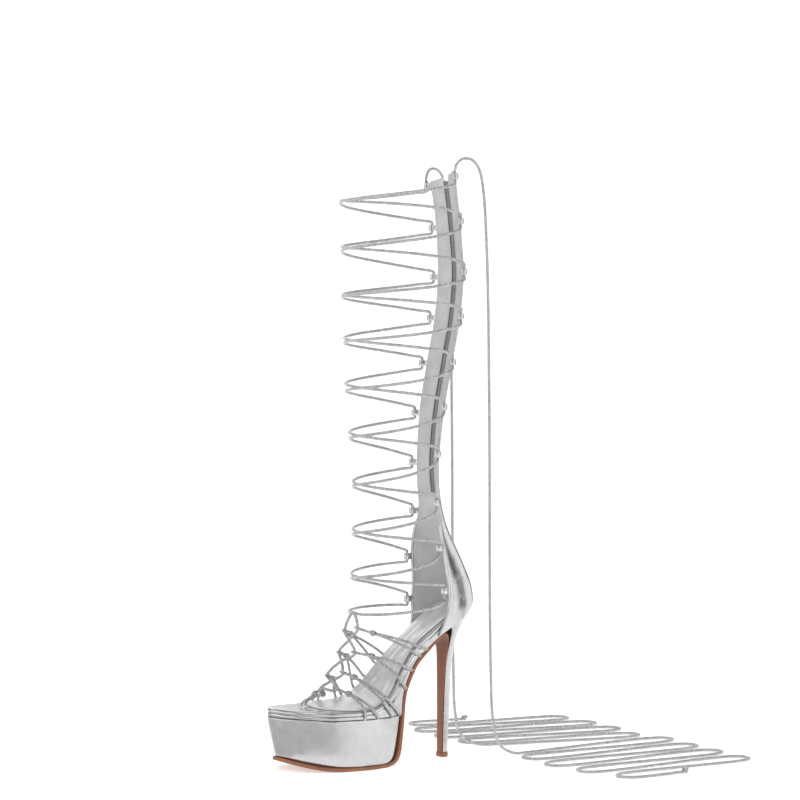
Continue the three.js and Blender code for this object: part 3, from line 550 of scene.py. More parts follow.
@finish("metallic cord", "cord", metallic=0.9, roughness=0.3)
def braid(f):
    """Metallised braid: slanting bundles that run both ways round the cord, with shade painted dark between
    them and glints painted in as bright specks.
    """
    size = bpy.context.scene.sandal_sizes
    around, along, _ = f.split(f.along)
    turn, rise = around * (TAU * size.braid_strands), along * (TAU / size.braid_pitch)
    weave = ((turn + rise).sin() * (turn - rise).sin()).abs().power(0.6)
    fibres = (turn * 3 + rise * 2).sin().abs()
    painted_glint = f.noise(800, 2).ease(0.42, 0.6)
    # Painted shade and glints: the colour goes nearly black in the grooves between bundles and bright in
    # random specks.
    f.tones(weave.ease(0.05, 0.6) * (0.55 + painted_glint * 0.45), 0.12, 1.4)
    f.feed("Roughness", 0.4 - weave * 0.18 + painted_glint * 0.1)
    return (weave, 0.42), (fibres, 0.07), (painted_glint, 0.05)


@finish("zip tape", "tape", roughness=0.7)
def zip_tape(f):
    """Ribbed woven tape."""
    across, _, up = f.split(f.place)
    ribs = (up * (TAU / (0.7 * MM))).sin() * 0.5 + 0.5
    warp = (across * (TAU / (0.5 * MM))).sin() * 0.5 + 0.5
    weave = ribs * 0.6 + warp * 0.4
    f.tones(weave, 0.72, 1.15)
    f.feed("Roughness", 0.6 + weave * 0.15)
    return (weave, 0.12), (f.noise(1800, 2), 0.05)


@finish("zip metal", (0.66, 0.66, 0.68), metallic=1.0, roughness=0.2)
def metal(f):
    """Polished nickel with faint brushing and wear."""
    brush = f.noise(900, 2, stretch=(1, 1, 0.08))
    wear = f.noise(260, 4).ease(0.45, 0.7)
    f.feed("Base Color", f.blend(wear, (0.7, 0.7, 0.72, 1), (0.5, 0.5, 0.52, 1)))
    f.feed("Roughness", 0.14 + brush * 0.14 + wear * 0.12)
    return (brush, 0.03), (wear, 0.02)


@finish("sewing thread", (0.5, 0.5, 0.51), roughness=0.5, metallic=0.2)
def thread(f):
    """Twisted pale grey thread."""
    around, along, _ = f.split(f.along)
    twist = (around * TAU * 2 + along * (TAU / 0.7)).sin() * 0.5 + 0.5
    f.feed("Base Color", f.blend(twist, (0.36, 0.36, 0.37, 1), (0.62, 0.62, 0.63, 1)))
    return ((twist, 0.08),)


# ---------------------------------------------------------------- the sandal's own geometry
def foot_top(x):
    """How high the footbed's upper face is at x."""
    return TOP.read("z", x)


def groove_z(x):
    """How high the platform's top is, under the footbed."""
    return GROOVE_Z + 2 * smoothstep(x, 20, 71)


def seat_z(x):
    """The slope that the heel and the counter stand on."""
    return SEAT_Z + (SEAT_FRONT - x) * SEAT_SLOPE


def sole_course(step):
    """Places along the outsole's outer face, each with its inward normal and width."""
    crowding = 1.15             # places stand closer together towards the toe
    line = Course([(r["x"], r["z"]) for r in SOLE.rows])
    widths = Course([(r["mid"], r["half"], r["thick"]) for r in SOLE.rows])
    count = round(line.length / step)
    places = []
    for i in range(count + 1):
        run = line.length * (i / count) ** crowding
        t = line.fraction(run)
        x, z = line.at(t)
        ahead, behind = line.at(t + 1e-4), line.at(t - 1e-4)
        dx, dz = ahead[0] - behind[0], ahead[1] - behind[1]
        size = math.hypot(dx, dz)
        mid, half, thick = widths.at(t)
        places.append({"x": x, "z": max(z, 0), "nx": dz / size, "nz": -dx / size,
                       "mid": mid, "half": half, "thick": thick, "run": run})
    return places


# The outsole's inner face, seen from the side, as (x, z) points.
INNER = [(p["x"] + p["nx"] * (p["thick"] + GAP), p["z"] + p["nz"] * (p["thick"] + GAP))
         for p in sole_course(1.2)]


def cross_x(z, low, high):
    """Where the outsole's inner face stands at one height, within a stretch of x."""
    for (x0, z0), (x1, z1) in zip(INNER, INNER[1:]):
        if low <= x0 <= high and (z0 - z) * (z1 - z) <= 0 and z0 != z1:
            return mix(x0, x1, (z - z0) / (z1 - z0))
    return None


def cross_z(x):
    """How high the outsole's inner face is under the arch, at one x."""
    best = 0.0
    tread_top = 45
    for (x0, z0), (x1, z1) in zip(INNER, INNER[1:]):
        if z0 > tread_top and min(x0, x1) <= x <= max(x0, x1) and x0 != x1:
            best = max(best, mix(z0, z1, (x - x0) / (x1 - x0)))
    return best


def plan(stations, height, heel=HEEL_END, toe=TOE_END, heel_round=30, toe_round=50, inset=0.0):
    """One ring round the foot's outline, from the heel along the inner side and back."""
    sides = []
    for s in stations:
        x = mix(heel, toe, (s - HEEL_END) / (TOE_END - HEEL_END))
        half = ((FOOT.read("half", x) - inset) * rounding(x - heel, heel_round)
                * rounding(toe - x, toe_round))
        sides.append((x, FOOT.read("mid", x), half))
    return ([(x, mid - half, height(x)) for x, mid, half in sides]
            + [(x, mid + half, height(x)) for x, mid, half in reversed(sides)])


def foot_stations(dense=None):
    """Places from heel to toe: close together at both round ends, and in one stretch."""
    heel, toe, at_heel, at_toe, step, fine = 34, 49, 25, 34, 1.8, 0.4
    out = [HEEL_END + heel * (1 - math.cos(math.pi / 2 * k / at_heel)) for k in range(at_heel + 1)]
    x = HEEL_END + heel + step
    while x < TOE_END - toe:
        out.append(x)
        x += fine if dense and dense[0] < x < dense[1] else step
    return out + [TOE_END - toe * (1 - math.sin(math.pi / 2 * (k + 1) / at_toe)) for k in range(at_toe)]


def wall_at(z):
    """The upper's plan section at one level."""
    return {key: UPPER.read(key, z) for key in UPPER.columns[1:]}


def wall_point(z, turn, deep=0.0):
    """A place on the upper's wall and its outward normal in plan."""
    w = wall_at(z)
    a = math.radians(min(abs(turn), 90))
    straight = math.radians(max(abs(turn) - 90, 0)) * w["depth"]
    side = math.copysign(1, turn) if turn else 0
    nx, ny = -math.cos(a) * w["half"], math.sin(a) * w["depth"]
    size = math.hypot(nx, ny)
    nx, ny = nx / size, ny / size
    x = w["back"] + w["depth"] * (1 - math.cos(a)) + straight
    return x - nx * deep, side * (w["half"] * math.sin(a) - ny * deep), nx, side * ny


def edge_turn(z, side):
    """How far round the wall goes before it ends in its front edge, in degrees."""
    return side * UPPER.read("outer" if side > 0 else "inner", z)


def drop(w, x):
    """How far a level of the wall sinks towards the front, near the sloping seat."""
    return (1 - w["level"]) * (x - w["back"]) * SEAT_SLOPE


def wall_height(row, x, y):
    """The height of a place on one level of the wall; the strip's top edge slants."""
    slant = smoothstep(row, 540, STRIP_TOP) * 0.2
    return row - drop(wall_at(row), x) + slant * y + GAP


def tab_place(tab, side):
    """Where a tab stands: the way it points, its root and its eye."""
    z = TABS.rows[tab - 1]["outer" if side > 0 else "inner"]

    def edge_at(height):
        level = height
        for _ in range(8):
            w = wall_at(level)
            x = wall_point(level, edge_turn(level, side), WALL / 2)[0]
            level += height - (level - drop(w, x))
        return wall_point(level, edge_turn(level, side), WALL / 2)

    x, y, nx, ny = edge_at(z)
    out = (side * ny, -side * nx)
    over = 0.0
    for k in (-1, 1):
        ox, oy, _, _ = edge_at(z + k * TAB_HEIGHT / 2)
        over = max(over, (ox - x) * out[0] + (oy - y) * out[1])
    root = (x + out[0] * (over + GAP), y + out[1] * (over + GAP), z)
    eye = (root[0] + out[0] * TAB_REACH, root[1] + out[1] * TAB_REACH, z)
    return out, root, eye


# ---------------------------------------------------------------- pieces
def make_outsole():
    """One skin: tread, platform's back, arch and heel breast."""
    form = Form()
    rings, runs = [], []
    for p in sole_course(1.1):
        wide = max(p["half"] * rounding(p["run"] + 0.6, 44), 0.4)
        ring = []
        for a, b in slab(wide, p["thick"], 1.1, 4):
            deep = p["thick"] / 2 + b
            ring.append((p["x"] + p["nx"] * deep, p["mid"] + a, p["z"] + p["nz"] * deep))
        rings.append(ring)
        runs.append(p["run"])
    form.rings(rings, runs=runs)
    finish_piece(form.build("outsole_leather", tan()), "tan_leather", "outsole")


def make_platform():
    """The wrapped block: its sides lean in to the tread, its top edge rolls into the groove."""
    form = Form()
    stations = foot_stations()
    rings = []
    levels = [k / 30 for k in range(30)] + [0.975, 0.985, 0.993, 1.0]
    for t in levels:
        z = mix(4.2, GROOVE_Z, t)
        back = cross_x(max(z, 4.4), -60, -20) or PLATFORM_BACK
        lip = 1.6 * (1 - rounding(1 - t, 0.035)) + 0.9 * (1 - rounding(t, 0.03))
        inset = 7 * (1 - t) ** 1.2 + lip

        def height(x, t=t):
            return mix(SOLE_THICK + GAP + tread_rise(x), groove_z(x), t)

        rings.append(plan(stations, height, heel=back, heel_round=5, toe=TOE_END - inset,
                          inset=inset * 0.75))
    form.rings(rings, caps="strips")
    finish_piece(form.build("platform_wrap", silver()), "silver_leather", "platform")


TREAD = [(14, 0.0), (30, 1.2), (48, 4.6), (65.5, 9.6), (75, 13.0)]
TREAD_LINE = Course(TREAD)


def tread_rise(x):
    """How far the tread has sprung up off the floor at x."""
    for i, ((x0, _), (x1, _)) in enumerate(zip(TREAD, TREAD[1:])):
        if x0 <= x <= x1:
            return TREAD_LINE.at((i + (x - x0) / (x1 - x0)) / (len(TREAD) - 1))[1]
    return 0.0


def footbed_floor(x):
    """The footbed's underside: on the platform, along the arch, and on the heel's seat."""
    if x < SEAT_FRONT:
        return seat_z(x) + SEAT_LIFT
    under = cross_z(x) if x < PLATFORM_BACK else 0
    return max(groove_z(x) + GAP, under)


def make_footbed():
    """The wrapped board: two rolled bands with a dark seam between, and a flat upper face."""
    form = Form()
    stations = foot_stations((-64, -50))
    roll = 4.6                  # the upper band's thickness, square to its face
    slopes = {}

    def seam(x):
        """Between the two bands; places within 0.01 mm share one slope."""
        key = round(x, 2)
        if key not in slopes:
            slopes[key] = math.hypot(1, (foot_top(x + 1) - foot_top(x - 1)) / 2)
        low, high = footbed_floor(x), foot_top(x)
        return max(mix(low, high, 0.3), high - roll * slopes[key])

    rings = []
    lower, upper_band = 7, 12
    for k in range(lower + 1):
        q = k / lower
        bulge = 1.15 - 0.95 * math.sin(math.pi * min(max(q * 0.94 + 0.03, 0), 1)) ** 0.6
        rings.append((bulge, lambda x, q=q: mix(footbed_floor(x), seam(x), q)))
    for k in range(1, upper_band + 1):
        q = k / upper_band
        bulge = 1.2 - 1.2 * math.sin(math.pi / 2 * min(1, q * 2.4)) ** 0.7
        bulge += 3.0 * (1 - rounding(1 - q, 0.65))
        rings.append((bulge, lambda x, q=q: mix(seam(x), foot_top(x), q)))
    for inset in (4.4, 6, 9, 13, 18):
        rings.append((inset, foot_top))
    shaped = []
    for inset, height in rings:
        ring = plan(stations, height, heel=HEEL_END + inset, toe=TOE_END - inset, inset=inset)
        shaped.append([squeeze_into_counter(p) for p in ring])
    form.rings(shaped, caps="strips")
    finish_piece(form.build("footbed_wrap", silver()), "silver_leather", "footbed")


def squeeze_into_counter(p):
    """Keeps the footbed's heel inside the counter's wall."""
    x, y, z = p
    start = SEAT_FRONT + 4
    if x > start:
        return p
    w = UPPER.rows[0]
    reach = w["depth"] - (x - w["back"])
    outer = w["half"] * math.sqrt(max(0.0, 1 - (max(reach, 0) / w["depth"]) ** 2))
    room = max(outer - WALL - 0.7, 0.0)
    held = math.copysign(min(abs(y), room), y)
    return (x, mix(y, held, smoothstep(-x, -start, -SEAT_FRONT)), z)


# Soft creases in the sock: middle, direction in degrees, size and depth.
CREASES = Table("x y turn length width depth", [
    (-96, 6, 20, 30, 3.2, 0.9), (-84, -7, -14, 34, 2.8, 0.8), (-70, 8, 38, 24, 3.4, 1.0),
    (-62, -3, 8, 40, 3.0, 0.8), (-50, 14, 52, 22, 3.6, 1.1), (-42, -10, -30, 30, 3.4, 0.8),
    (-34, 20, 24, 26, 3.0, 0.9), (-22, 4, -60, 24, 3.8, 0.7), (-12, -18, 12, 34, 3.2, 0.8),
    (-4, 16, -24, 28, 3.4, 0.8), (8, -6, 40, 26, 3.6, 0.6), (18, 8, -8, 24, 3.0, 0.6),
    (-112, -6, 70, 18, 3.0, 0.6), (-122, 5, -40, 16, 3.0, 0.5), (26, -16, 64, 20, 3.0, 0.5)])


def crease_height(x, y):
    """The sock's creases: a wavering trough with a lower ridge beside it."""
    total = 0.0
    for c in CREASES.rows:
        a = math.radians(c["turn"])
        dx, dy = x - c["x"], y - c["y"]
        along, off = dx * math.cos(a) + dy * math.sin(a), -dx * math.sin(a) + dy * math.cos(a)
        off += 1.6 * math.sin(along * 0.16 + c["x"])
        fade = math.exp(-(along / (c["length"] * 0.5)) ** 2)
        trough = -math.exp(-(off / c["width"]) ** 2)
        ridge = 0.75 * math.exp(-((off - c["width"] * 1.7) / (c["width"] * 1.1)) ** 2)
        total += c["depth"] * fade * (trough + ridge)
    return total


def make_insole():
    """The sock: a thin padded sheet, creased, lying on the footbed."""
    form = Form()
    heel, toe, across, count = SOCK_HEEL, SOCK_TOE, 40, 190
    rings = []
    for i in range(count + 1):
        x = mix(heel, toe, (1 - math.cos(math.pi * i / count)) / 2)
        half = max((FOOT.read("half", x) - 4.5) * rounding(x - heel, 26) * rounding(toe - x, 30), 0.05)
        mid = FOOT.read("mid", x)
        ends = min(rounding(x - heel + 0.3, 4), rounding(toe - x + 0.3, 4))
        top, bottom = [], []
        for j in range(across + 1):
            s = math.sin(math.pi / 2 * (2 * j / across - 1))
            edge = min(1.0, rounding((1 - abs(s)) * half, 2.0)) * ends
            y = mid + s * half
            rise = crease_height(x, y) * min(1.0, (1 - abs(s)) * half / 5) * ends
            top.append((x, y, foot_top(x) + 0.75 + 1.5 * edge + rise))
            bottom.append((x, y, foot_top(x) + 0.35))
        rings.append(top + bottom[::-1])
    form.rings(rings)
    finish_piece(form.build("insole_sock", sock(), sharp=60), "sock_leather", "insole")


def heel_ring(t, points=44):
    """The heel's section: a D whose flat side faces forward."""
    floor, middle, guess = TIP_HEIGHT + GAP, -94, -110.0

    def place(a):
        """On the round back, where angle a points; the top ring follows the sloping seat."""
        x = guess
        reach = max(math.cos(a), 1e-9) ** 0.8
        for _ in range(6):
            z = mix(floor, seat_z(x) - 0.1, t)
            x = middle - (middle - HEEL.read("back", z)) * reach
        return x, HEEL.read("half", z) * math.copysign(abs(math.sin(a)) ** 0.9, a), z

    front = cross_x(max(mix(floor, seat_z(SEAT_FRONT) - 0.1, t), 6), -122, SEAT_FRONT - 0.2)
    front = min(front if front is not None else SEAT_FRONT - GAP, SEAT_FRONT - GAP)
    low, high = 0.0, math.pi / 2
    for _ in range(30):
        half = (low + high) / 2
        if place(half)[0] < front:
            low = half
        else:
            high = half
    ring = []
    for k in range(points + 1):
        s = 2 * k / points - 1
        x, y, z = place(low * math.copysign(abs(s) ** 0.9, s))
        pinch = 0.5 * (1 - rounding(1 - abs(s), 0.06))
        ring.append((x - pinch * 0.2, y * (1 - pinch * 0.04), z))
    return ring


def make_heel():
    """The wrapped heel, from its tip up to the seat."""
    form = Form()
    form.rings([heel_ring(k / 90) for k in range(91)], caps="strips")
    finish_piece(form.build("heel_wrap", silver(), sharp=35), "silver_leather", "heel")


def make_toplift():
    """The walking tip: a half round with a straight front."""
    form = Form()
    middle, corner = TIP_BACK + TIP_HALF, 0.5
    rings = []
    for z, inset in ((0, 0.5), (0.12, 0.2), (0.4, 0), (4.1, 0), (4.4, 0.15), (TIP_HEIGHT, 0.4)):
        half, front = TIP_HALF - inset, TIP_FRONT - inset
        turns = [math.pi * k / 24 - math.pi / 2 for k in range(25)]
        ring = [(middle - half * math.cos(a), half * math.sin(a), z) for a in turns]
        ring += [(front - corner, half, z), (front, half - corner, z),
                 (front, -half + corner, z), (front - corner, -half, z)]
        rings.append(ring)
    form.rings(rings)
    finish_piece(form.build("toplift_tip", tan()), "tan_leather", "toplift")


def make_upper():
    """Counter and back strip: foil outside, lining inside, turned edges and a slot for the zip."""
    form = Form()
    low, levels, half_columns, slot_columns = UPPER.rows[0]["z"], 230, 16, 6
    columns = []
    for i in range(levels + 1):
        z = mix(low, STRIP_TOP, (i / levels) ** 1.15)
        slot_turn = math.degrees(math.asin(ZIP_SLOT / UPPER.read("half", z)))
        left, right = edge_turn(z, -1), edge_turn(z, 1)
        turns = [mix(left, -slot_turn, k / half_columns) for k in range(half_columns + 1)]
        turns += [mix(-slot_turn, slot_turn, k / slot_columns) for k in range(1, slot_columns)]
        turns += [mix(slot_turn, right, k / half_columns) for k in range(half_columns + 1)]
        columns.append((z, turns))
    wide = len(columns[0][1])
    edge_steps = 5
    for z, turns in columns:
        outer, inner = [], []
        for turn in turns:
            x, y, nx, ny = wall_point(z, turn)
            height = wall_height(z, x, y)
            outer.append((x, y, height))
            inner.append((x - nx * WALL, y - ny * WALL, height))
        form.points.extend(outer + inner)
        for side, at in ((-1, 0), (1, -1)):
            a, b = Vector(outer[at]), Vector(inner[at])
            x, y, nx, ny = wall_point(z, turns[at])
            out = Vector((side * ny, -side * nx, 0))
            for k in range(1, edge_steps):
                angle = math.pi * k / edge_steps
                p = (a + b) / 2 + (a - b) / 2 * math.cos(angle) + out * (WALL * 0.34 * math.sin(angle))
                form.points.append(tuple(p))
    row = 2 * wide + 2 * (edge_steps - 1)
    first, last = half_columns, half_columns + slot_columns
    slot_row = next(i for i, (z, _) in enumerate(columns) if z >= ZIP_BOTTOM)

    def edge_index(i, side, k):
        """Points round one front edge, from the outer face (0) to the inner one."""
        at = 0 if side < 0 else wide - 1
        if k == 0:
            return i * row + at
        if k == edge_steps:
            return i * row + wide + at
        return i * row + 2 * wide + (0 if side < 0 else edge_steps - 1) + k - 1

    for i in range(levels):
        a, b = i * row, (i + 1) * row
        z0, z1 = columns[i][0], columns[i + 1][0]
        for k in range(wide - 1):
            if i >= slot_row and first <= k < last:
                continue
            uv = [(k / wide, z0), ((k + 1) / wide, z0), ((k + 1) / wide, z1), (k / wide, z1)]
            form.face((a + k, a + k + 1, b + k + 1, b + k), uv, 0)
            form.face((a + wide + k, b + wide + k, b + wide + k + 1, a + wide + k + 1), None, 1)
        for side in (-1, 1):
            for k in range(edge_steps):
                form.face((edge_index(i, side, k), edge_index(i + 1, side, k),
                           edge_index(i + 1, side, k + 1), edge_index(i, side, k + 1)), None, 0)
        if i >= slot_row:
            for k in (first, last):
                form.face((a + k, b + k, b + wide + k, a + wide + k), None, 0)
    top, foot, slot = levels * row, 0, slot_row * row
    for k in range(wide - 1):
        form.face((foot + k, foot + k + 1, foot + wide + k + 1, foot + wide + k), None, 0)
        base = slot if first <= k < last else top
        form.face((base + k, base + k + 1, base + wide + k + 1, base + wide + k), None, 0)
    for i in (0, levels):
        for side in (-1, 1):
            form.face(tuple(edge_index(i, side, k) for k in range(edge_steps + 1)), None, 0)
    finish_piece(form.build("upper_leather", silver(), lining(), sharp=50), "silver_leather", "upper")


def wall_line(turn_at, deep, start, step=2.0):
    """Points up the upper's wall, at a turn worked out for each height."""
    line = []
    for z in climb(start, STITCH_TOP, step):
        x, y, _, _ = wall_point(z, turn_at(z), deep)
        line.append((x, y, wall_height(z, x, y)))
    return line


def make_stitching():
    """Rows of stitches near the strip's edges, inside and outside, and beside the zip."""
    form = Form()
    pitch = bpy.context.scene.sandal_sizes.stitch_pitch / MM
    proud, from_edge, from_slot, gap = 0.12, 2.4, 1.6, 0.12
    lines = []
    for side in (-1, 1):
        def near_edge(z):
            return edge_turn(z, side) - side * math.degrees(from_edge / UPPER.read("half", z))

        def near_slot(z):
            return side * math.degrees(math.asin((ZIP_SLOT + from_slot) / UPPER.read("half", z)))

        for deep in (-proud, WALL + proud):
            lines.append(wall_line(near_edge, deep, 160.0))
            lines.append(wall_line(near_slot, deep, ZIP_BOTTOM - 3))
    for line in lines:
        course = Course(line)
        for k in range(int(course.length / pitch)):
            a, b = (course.at(course.fraction(k * pitch + pitch * share)) for share in (gap, 1 - gap))
            middle = tuple(mix(p, q, 0.5) for p, q in zip(a, b))
            form.sweep([a, middle, b], circle(0.3, 6), scale=lambda t: 0.35 + 0.65 * math.sin(math.pi * t))
    finish_piece(form.build("stitching", thread()), "silver_leather")


def make_edge_piping():
    """The turned, padded roll along the counter's two front edges."""
    form = Form()
    for side in (-1, 1):
        line = []
        for z in climb(UPPER.rows[0]["z"] + 0.9, COUNTER_TOP, 1.5):
            x, y, nx, ny = wall_point(z, edge_turn(z, side), WALL / 2)
            line.append((x + side * ny * 0.3, y - side * nx * 0.3, wall_height(z, x, y)))
        form.sweep(line, circle(1.55, 12),
                   scale=lambda t: min(1, 0.72 + 0.5 * rounding(t + 0.02, 0.06) * rounding(1.02 - t, 0.3)))
    finish_piece(form.build("counter_piping", silver()), "silver_leather")


def make_tab(tab, side):
    """A strap folded round an upright eye, its two ends sewn to the strip's edge."""
    out, root, _ = tab_place(tab, side)
    bend, leg = TAB_EYE + TAB_THICK / 2, 0.62
    tilt = math.asin((bend - leg) / (TAB_REACH - 1.5))
    line = [(-1.2, -leg), (0.4, -leg), (1.5, -leg)]
    for k in range(17):
        a = mix(-math.pi / 2 - tilt * 0.85, math.pi / 2 + tilt * 0.85, k / 16)
        line.append((TAB_REACH + bend * math.cos(a), bend * math.sin(a)))
    line += [(1.5, leg), (0.4, leg), (-1.2, leg)]
    places = [(root[0] + out[0] * u - out[1] * v, root[1] + out[1] * u + out[0] * v, root[2])
              for u, v in Course(line).spaced(0.7)]
    form = Form()
    form.sweep(places, slab(TAB_THICK / 2, TAB_HEIGHT, 0.4, 2), up=(0, 0, 1))
    piece = form.build(f"tab_loop_{WORD[side]}_{tab}", silver())
    finish_piece(piece, "silver_leather", f"tab_{WORD[side]}_{tab}")


def add_knot(form, at, toward, radius=2.0, cord=2.4, turns=2.5):
    """A small barrel knot: the cord wound round itself, along the way it points."""
    at, axis = Vector(at), (Vector(toward) - Vector(at)).normalized()
    side = axis.orthogonal().normalized()
    other = axis.cross(side)
    count = 16
    line = []
    for k in range(round(turns * count) + 1):
        a = TAU * k / count
        t = k / (turns * count)
        reach = radius * (0.82 + 0.18 * math.sin(math.pi * t))
        rise = (t - 0.5) * turns * cord * 0.74
        line.append(tuple(at + axis * rise + (side * math.cos(a) + other * math.sin(a)) * reach))
    form.sweep(line, circle(cord / 2, 10))
    core = [tuple(at + axis * (cord * step)) for step in (-1, -0.5, 0, 0.5, 1)]
    form.sweep(core, circle(radius * 0.75, 10))


def eye_route(knot, eye):
    """A small loop out of the knot, round the lace and back."""
    along = Vector(eye) - Vector(knot)
    across = Vector((0, 0, 1)).cross(along).normalized()

    def at(t, wide):
        return tuple(Vector(knot) + along * t + across * wide)

    bow = CORD * 0.8
    out = [(0.02, 0.6), (0.35, 1.3), (0.65, bow * 0.9), (0.88, bow), (1.06, bow * 0.7)]
    return [at(t, wide) for t, wide in out] + [at(1.14, 0)] + [at(t, -wide) for t, wide in out[::-1]]


def seam_z(x):
    """Where the seam under the footbed's edge runs: on the platform, then along the arch."""
    return cross_z(x) if x < PLATFORM_BACK else groove_z(x)


def strap_strand(x, side, knot):
    """Out of the seam, flat against the footbed's side, over its edge and on to the knot."""
    start = seam_z(x) + CORD / 2

    def place(t, y, lift=0.0):
        return mix(x, knot[0], t), y, mix(start, knot[2], t) + lift

    def edge(t, off=CORD / 2 + 0.2):
        at = mix(x, knot[0], t)
        return FOOT.read("mid", at) + side * (FOOT.read("half", at) + off)

    over = 0.0
    while over < 1 and mix(start, knot[2], over) < foot_top(mix(x, knot[0], over)) + CORD / 2:
        over += 0.01
    route = [place(-0.02, edge(0, -1.2), -0.8), place(0, edge(0, 0.9)), place(over * 0.4, edge(over * 0.4)),
             place(over * 0.8, edge(over * 0.8)), place(over, edge(over, 0.9), 0.3)]
    for s, lift in ((0.12, 1.0), (0.5, 1.4), (0.85, 0.6)):
        t = mix(over, 1, s)
        route.append(place(t, mix(edge(over), knot[1], s), lift))
    return route + [knot]


def make_strap(row):
    """Two strands from the seam under the footbed to a knot, and the eye beyond it."""
    side, knot = row["side"], row["knot"]
    form = Form()
    for x in row["ends"]:
        form.cord(strap_strand(x, side, knot), CORD * 0.9, 1.3)
    form.cord(eye_route(knot, row["eye"]), CORD * 0.8, 1.0)
    add_knot(form, knot, row["eye"])
    piece = form.build("strap_" + row["name"] + "_cord", braid())
    finish_piece(piece, "metallic_cord", "strap_" + row["name"])


def make_toe_post():
    """Two strands out of the footbed's toe to a knot, and the eye beyond it."""
    form = Form()
    for number, (x, y) in enumerate(POST_FEET):
        foot = foot_top(x) + CORD * 0.4
        spread = (number - 0.5) * 1.4
        middle = (mix(x, POST_KNOT[0], 0.55), mix(y, POST_KNOT[1], 0.55) + spread,
                  mix(foot, POST_KNOT[2], 0.62))
        form.cord([(x, y, foot), (x - 0.6, y, foot + 3), middle, POST_KNOT], CORD * 0.86, 1.0)
    form.cord(eye_route(POST_KNOT, POST_EYE), CORD * 0.8, 1.0)
    add_knot(form, POST_KNOT, POST_EYE)
    finish_piece(form.build("toe_post_cord", braid()), "metallic_cord", "toe_post")


def leg_round(tab, side):
    """A strand round the front of the leg, from a tab to the next higher one opposite."""
    _, _, low = tab_place(tab + 1, -side)
    _, _, high = tab_place(tab, side)
    count, sway, hold = 22, 0.06, 7     # hold: how soon the strand lets go of its tabs
    apart, crossing = 1.35, 0.06        # the two strands pass one over the other in front
    route = []
    for i in range(count + 1):
        t = i / count
        ease = t + sway * math.sin(TAU * t)
        z = mix(high[2] - LACE_CLEAR, low[2] + LACE_CLEAR, ease)
        middle, radius = LEG.read("middle", z), LEG.read("radius", z)
        start = math.atan2(high[1], high[0] - middle)
        stop = math.atan2(low[1], low[0] - middle)
        near = max(0, 1 - hold * min(t, 1 - t))
        eye = high if t < 0.5 else low
        reach = mix(radius, math.hypot(eye[0] - middle, eye[1]), near)
        reach += side * apart * math.exp(-((t - 0.5) / crossing) ** 2)
        a = mix(start, stop, t)
        route.append((middle + reach * math.cos(a), reach * math.sin(a), z))
    return route[::-1]


def ankle_round(side):
    """From the apex round the ankle to under a lowest tab."""
    _, _, eye = tab_place(10, side)
    start, radius = math.atan2(eye[1], eye[0] - APEX_ROUND), math.hypot(eye[0] - APEX_ROUND, eye[1])
    route, count = [], 12
    for i in range(count):
        t = i / count
        a, reach = mix(start, 0, t), mix(radius, APEX[0] - APEX_ROUND, t)
        z = mix(eye[2] - LACE_CLEAR, APEX[2], smoothstep(t, -0.6, 1))
        route.append((APEX_ROUND + reach * math.cos(a), reach * math.sin(a), z))
    over = side * 1.1
    route.append((APEX[0] + over, APEX[1], APEX[2] + abs(over) * 0.4))
    return route[::-1]


def lace_route(side):
    """One half of the lace: from the toe post's eye up to the top tab it ends at."""
    eyes = {(row["side"], row["name"][-1]): Vector(row["eye"]) for row in STRAPS}
    route = [(POST_EYE[0] + 0.4, POST_EYE[1] + side * 1.2, POST_EYE[2])]
    here = side
    for level in "4321":
        eye = eyes[here, level]
        if level != "4":        # the two halves cross one over the other
            over = Vector((1.1, 0, 1.1)) * (1 if side > 0 else -0.7)
            route.append(tuple((Vector(route[-1]) + eye) / 2 + over))
        route += [tuple(eye - Vector((0.4, 0, 2.2))), tuple(eye + Vector((-0.6, 0, 2.0)))]
        here = -here
    route += ankle_round(here)
    for tab in range(10, 0, -1):
        x, y, z = tab_place(tab, here)[2]
        route += [(x, y, z + lift) for lift in (-TAB_HEIGHT / 2, 0, TAB_HEIGHT / 2)]
        if tab > 1:
            here = -here
            route += leg_round(tab - 1, here)
    return route, here


def make_lace(side):
    """One half of the lace, up to where its tie begins; the outer one stands for all the CAD's."""
    route, end = lace_route(side)
    route.append((OUTER_TIE if end > 0 else INNER_TIE)[0])
    form = Form()
    form.cord(route)
    nodes = ["ankle_lace"] + [f"foot_lace_{n}" for n in (1, 2, 3)] + [f"leg_lace_{n}" for n in range(1, 10)]
    piece = form.build(f"lace_half_{WORD[end]}", braid())
    finish_piece(piece, "metallic_cord", *(nodes if end > 0 else ()))


def make_tie(word, route):
    """A tie from the top tab down to the floor, with a small knot at its free end."""
    form = Form()
    line = Course(route).spaced(2.5)
    form.sweep(line, circle(CORD / 2, 12))
    tie = finish_piece(form.build(f"tie_cord_{word}", braid()), "metallic_cord", f"tie_{word}")
    (x, y, _), (bx, by, _) = route[-1], route[-2]
    knot = Form()
    add_knot(knot, (x, y, 3.0), (bx, by, 3.0), 1.7, 2.4)
    end = finish_piece(knot.build(f"tie_knot_{word}", braid()), "metallic_cord")
    length = sum(math.dist(a, b) for a, b in zip(line, line[1:])) * MM
    path = [tuple(v * MM for v in p) for p in line]
    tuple(path[0])


def band_point(z, y, deep):
    """A place on the zip's band, `deep` mm in from the strip's outer face."""
    return (UPPER.read("back", z) + deep, y, z)


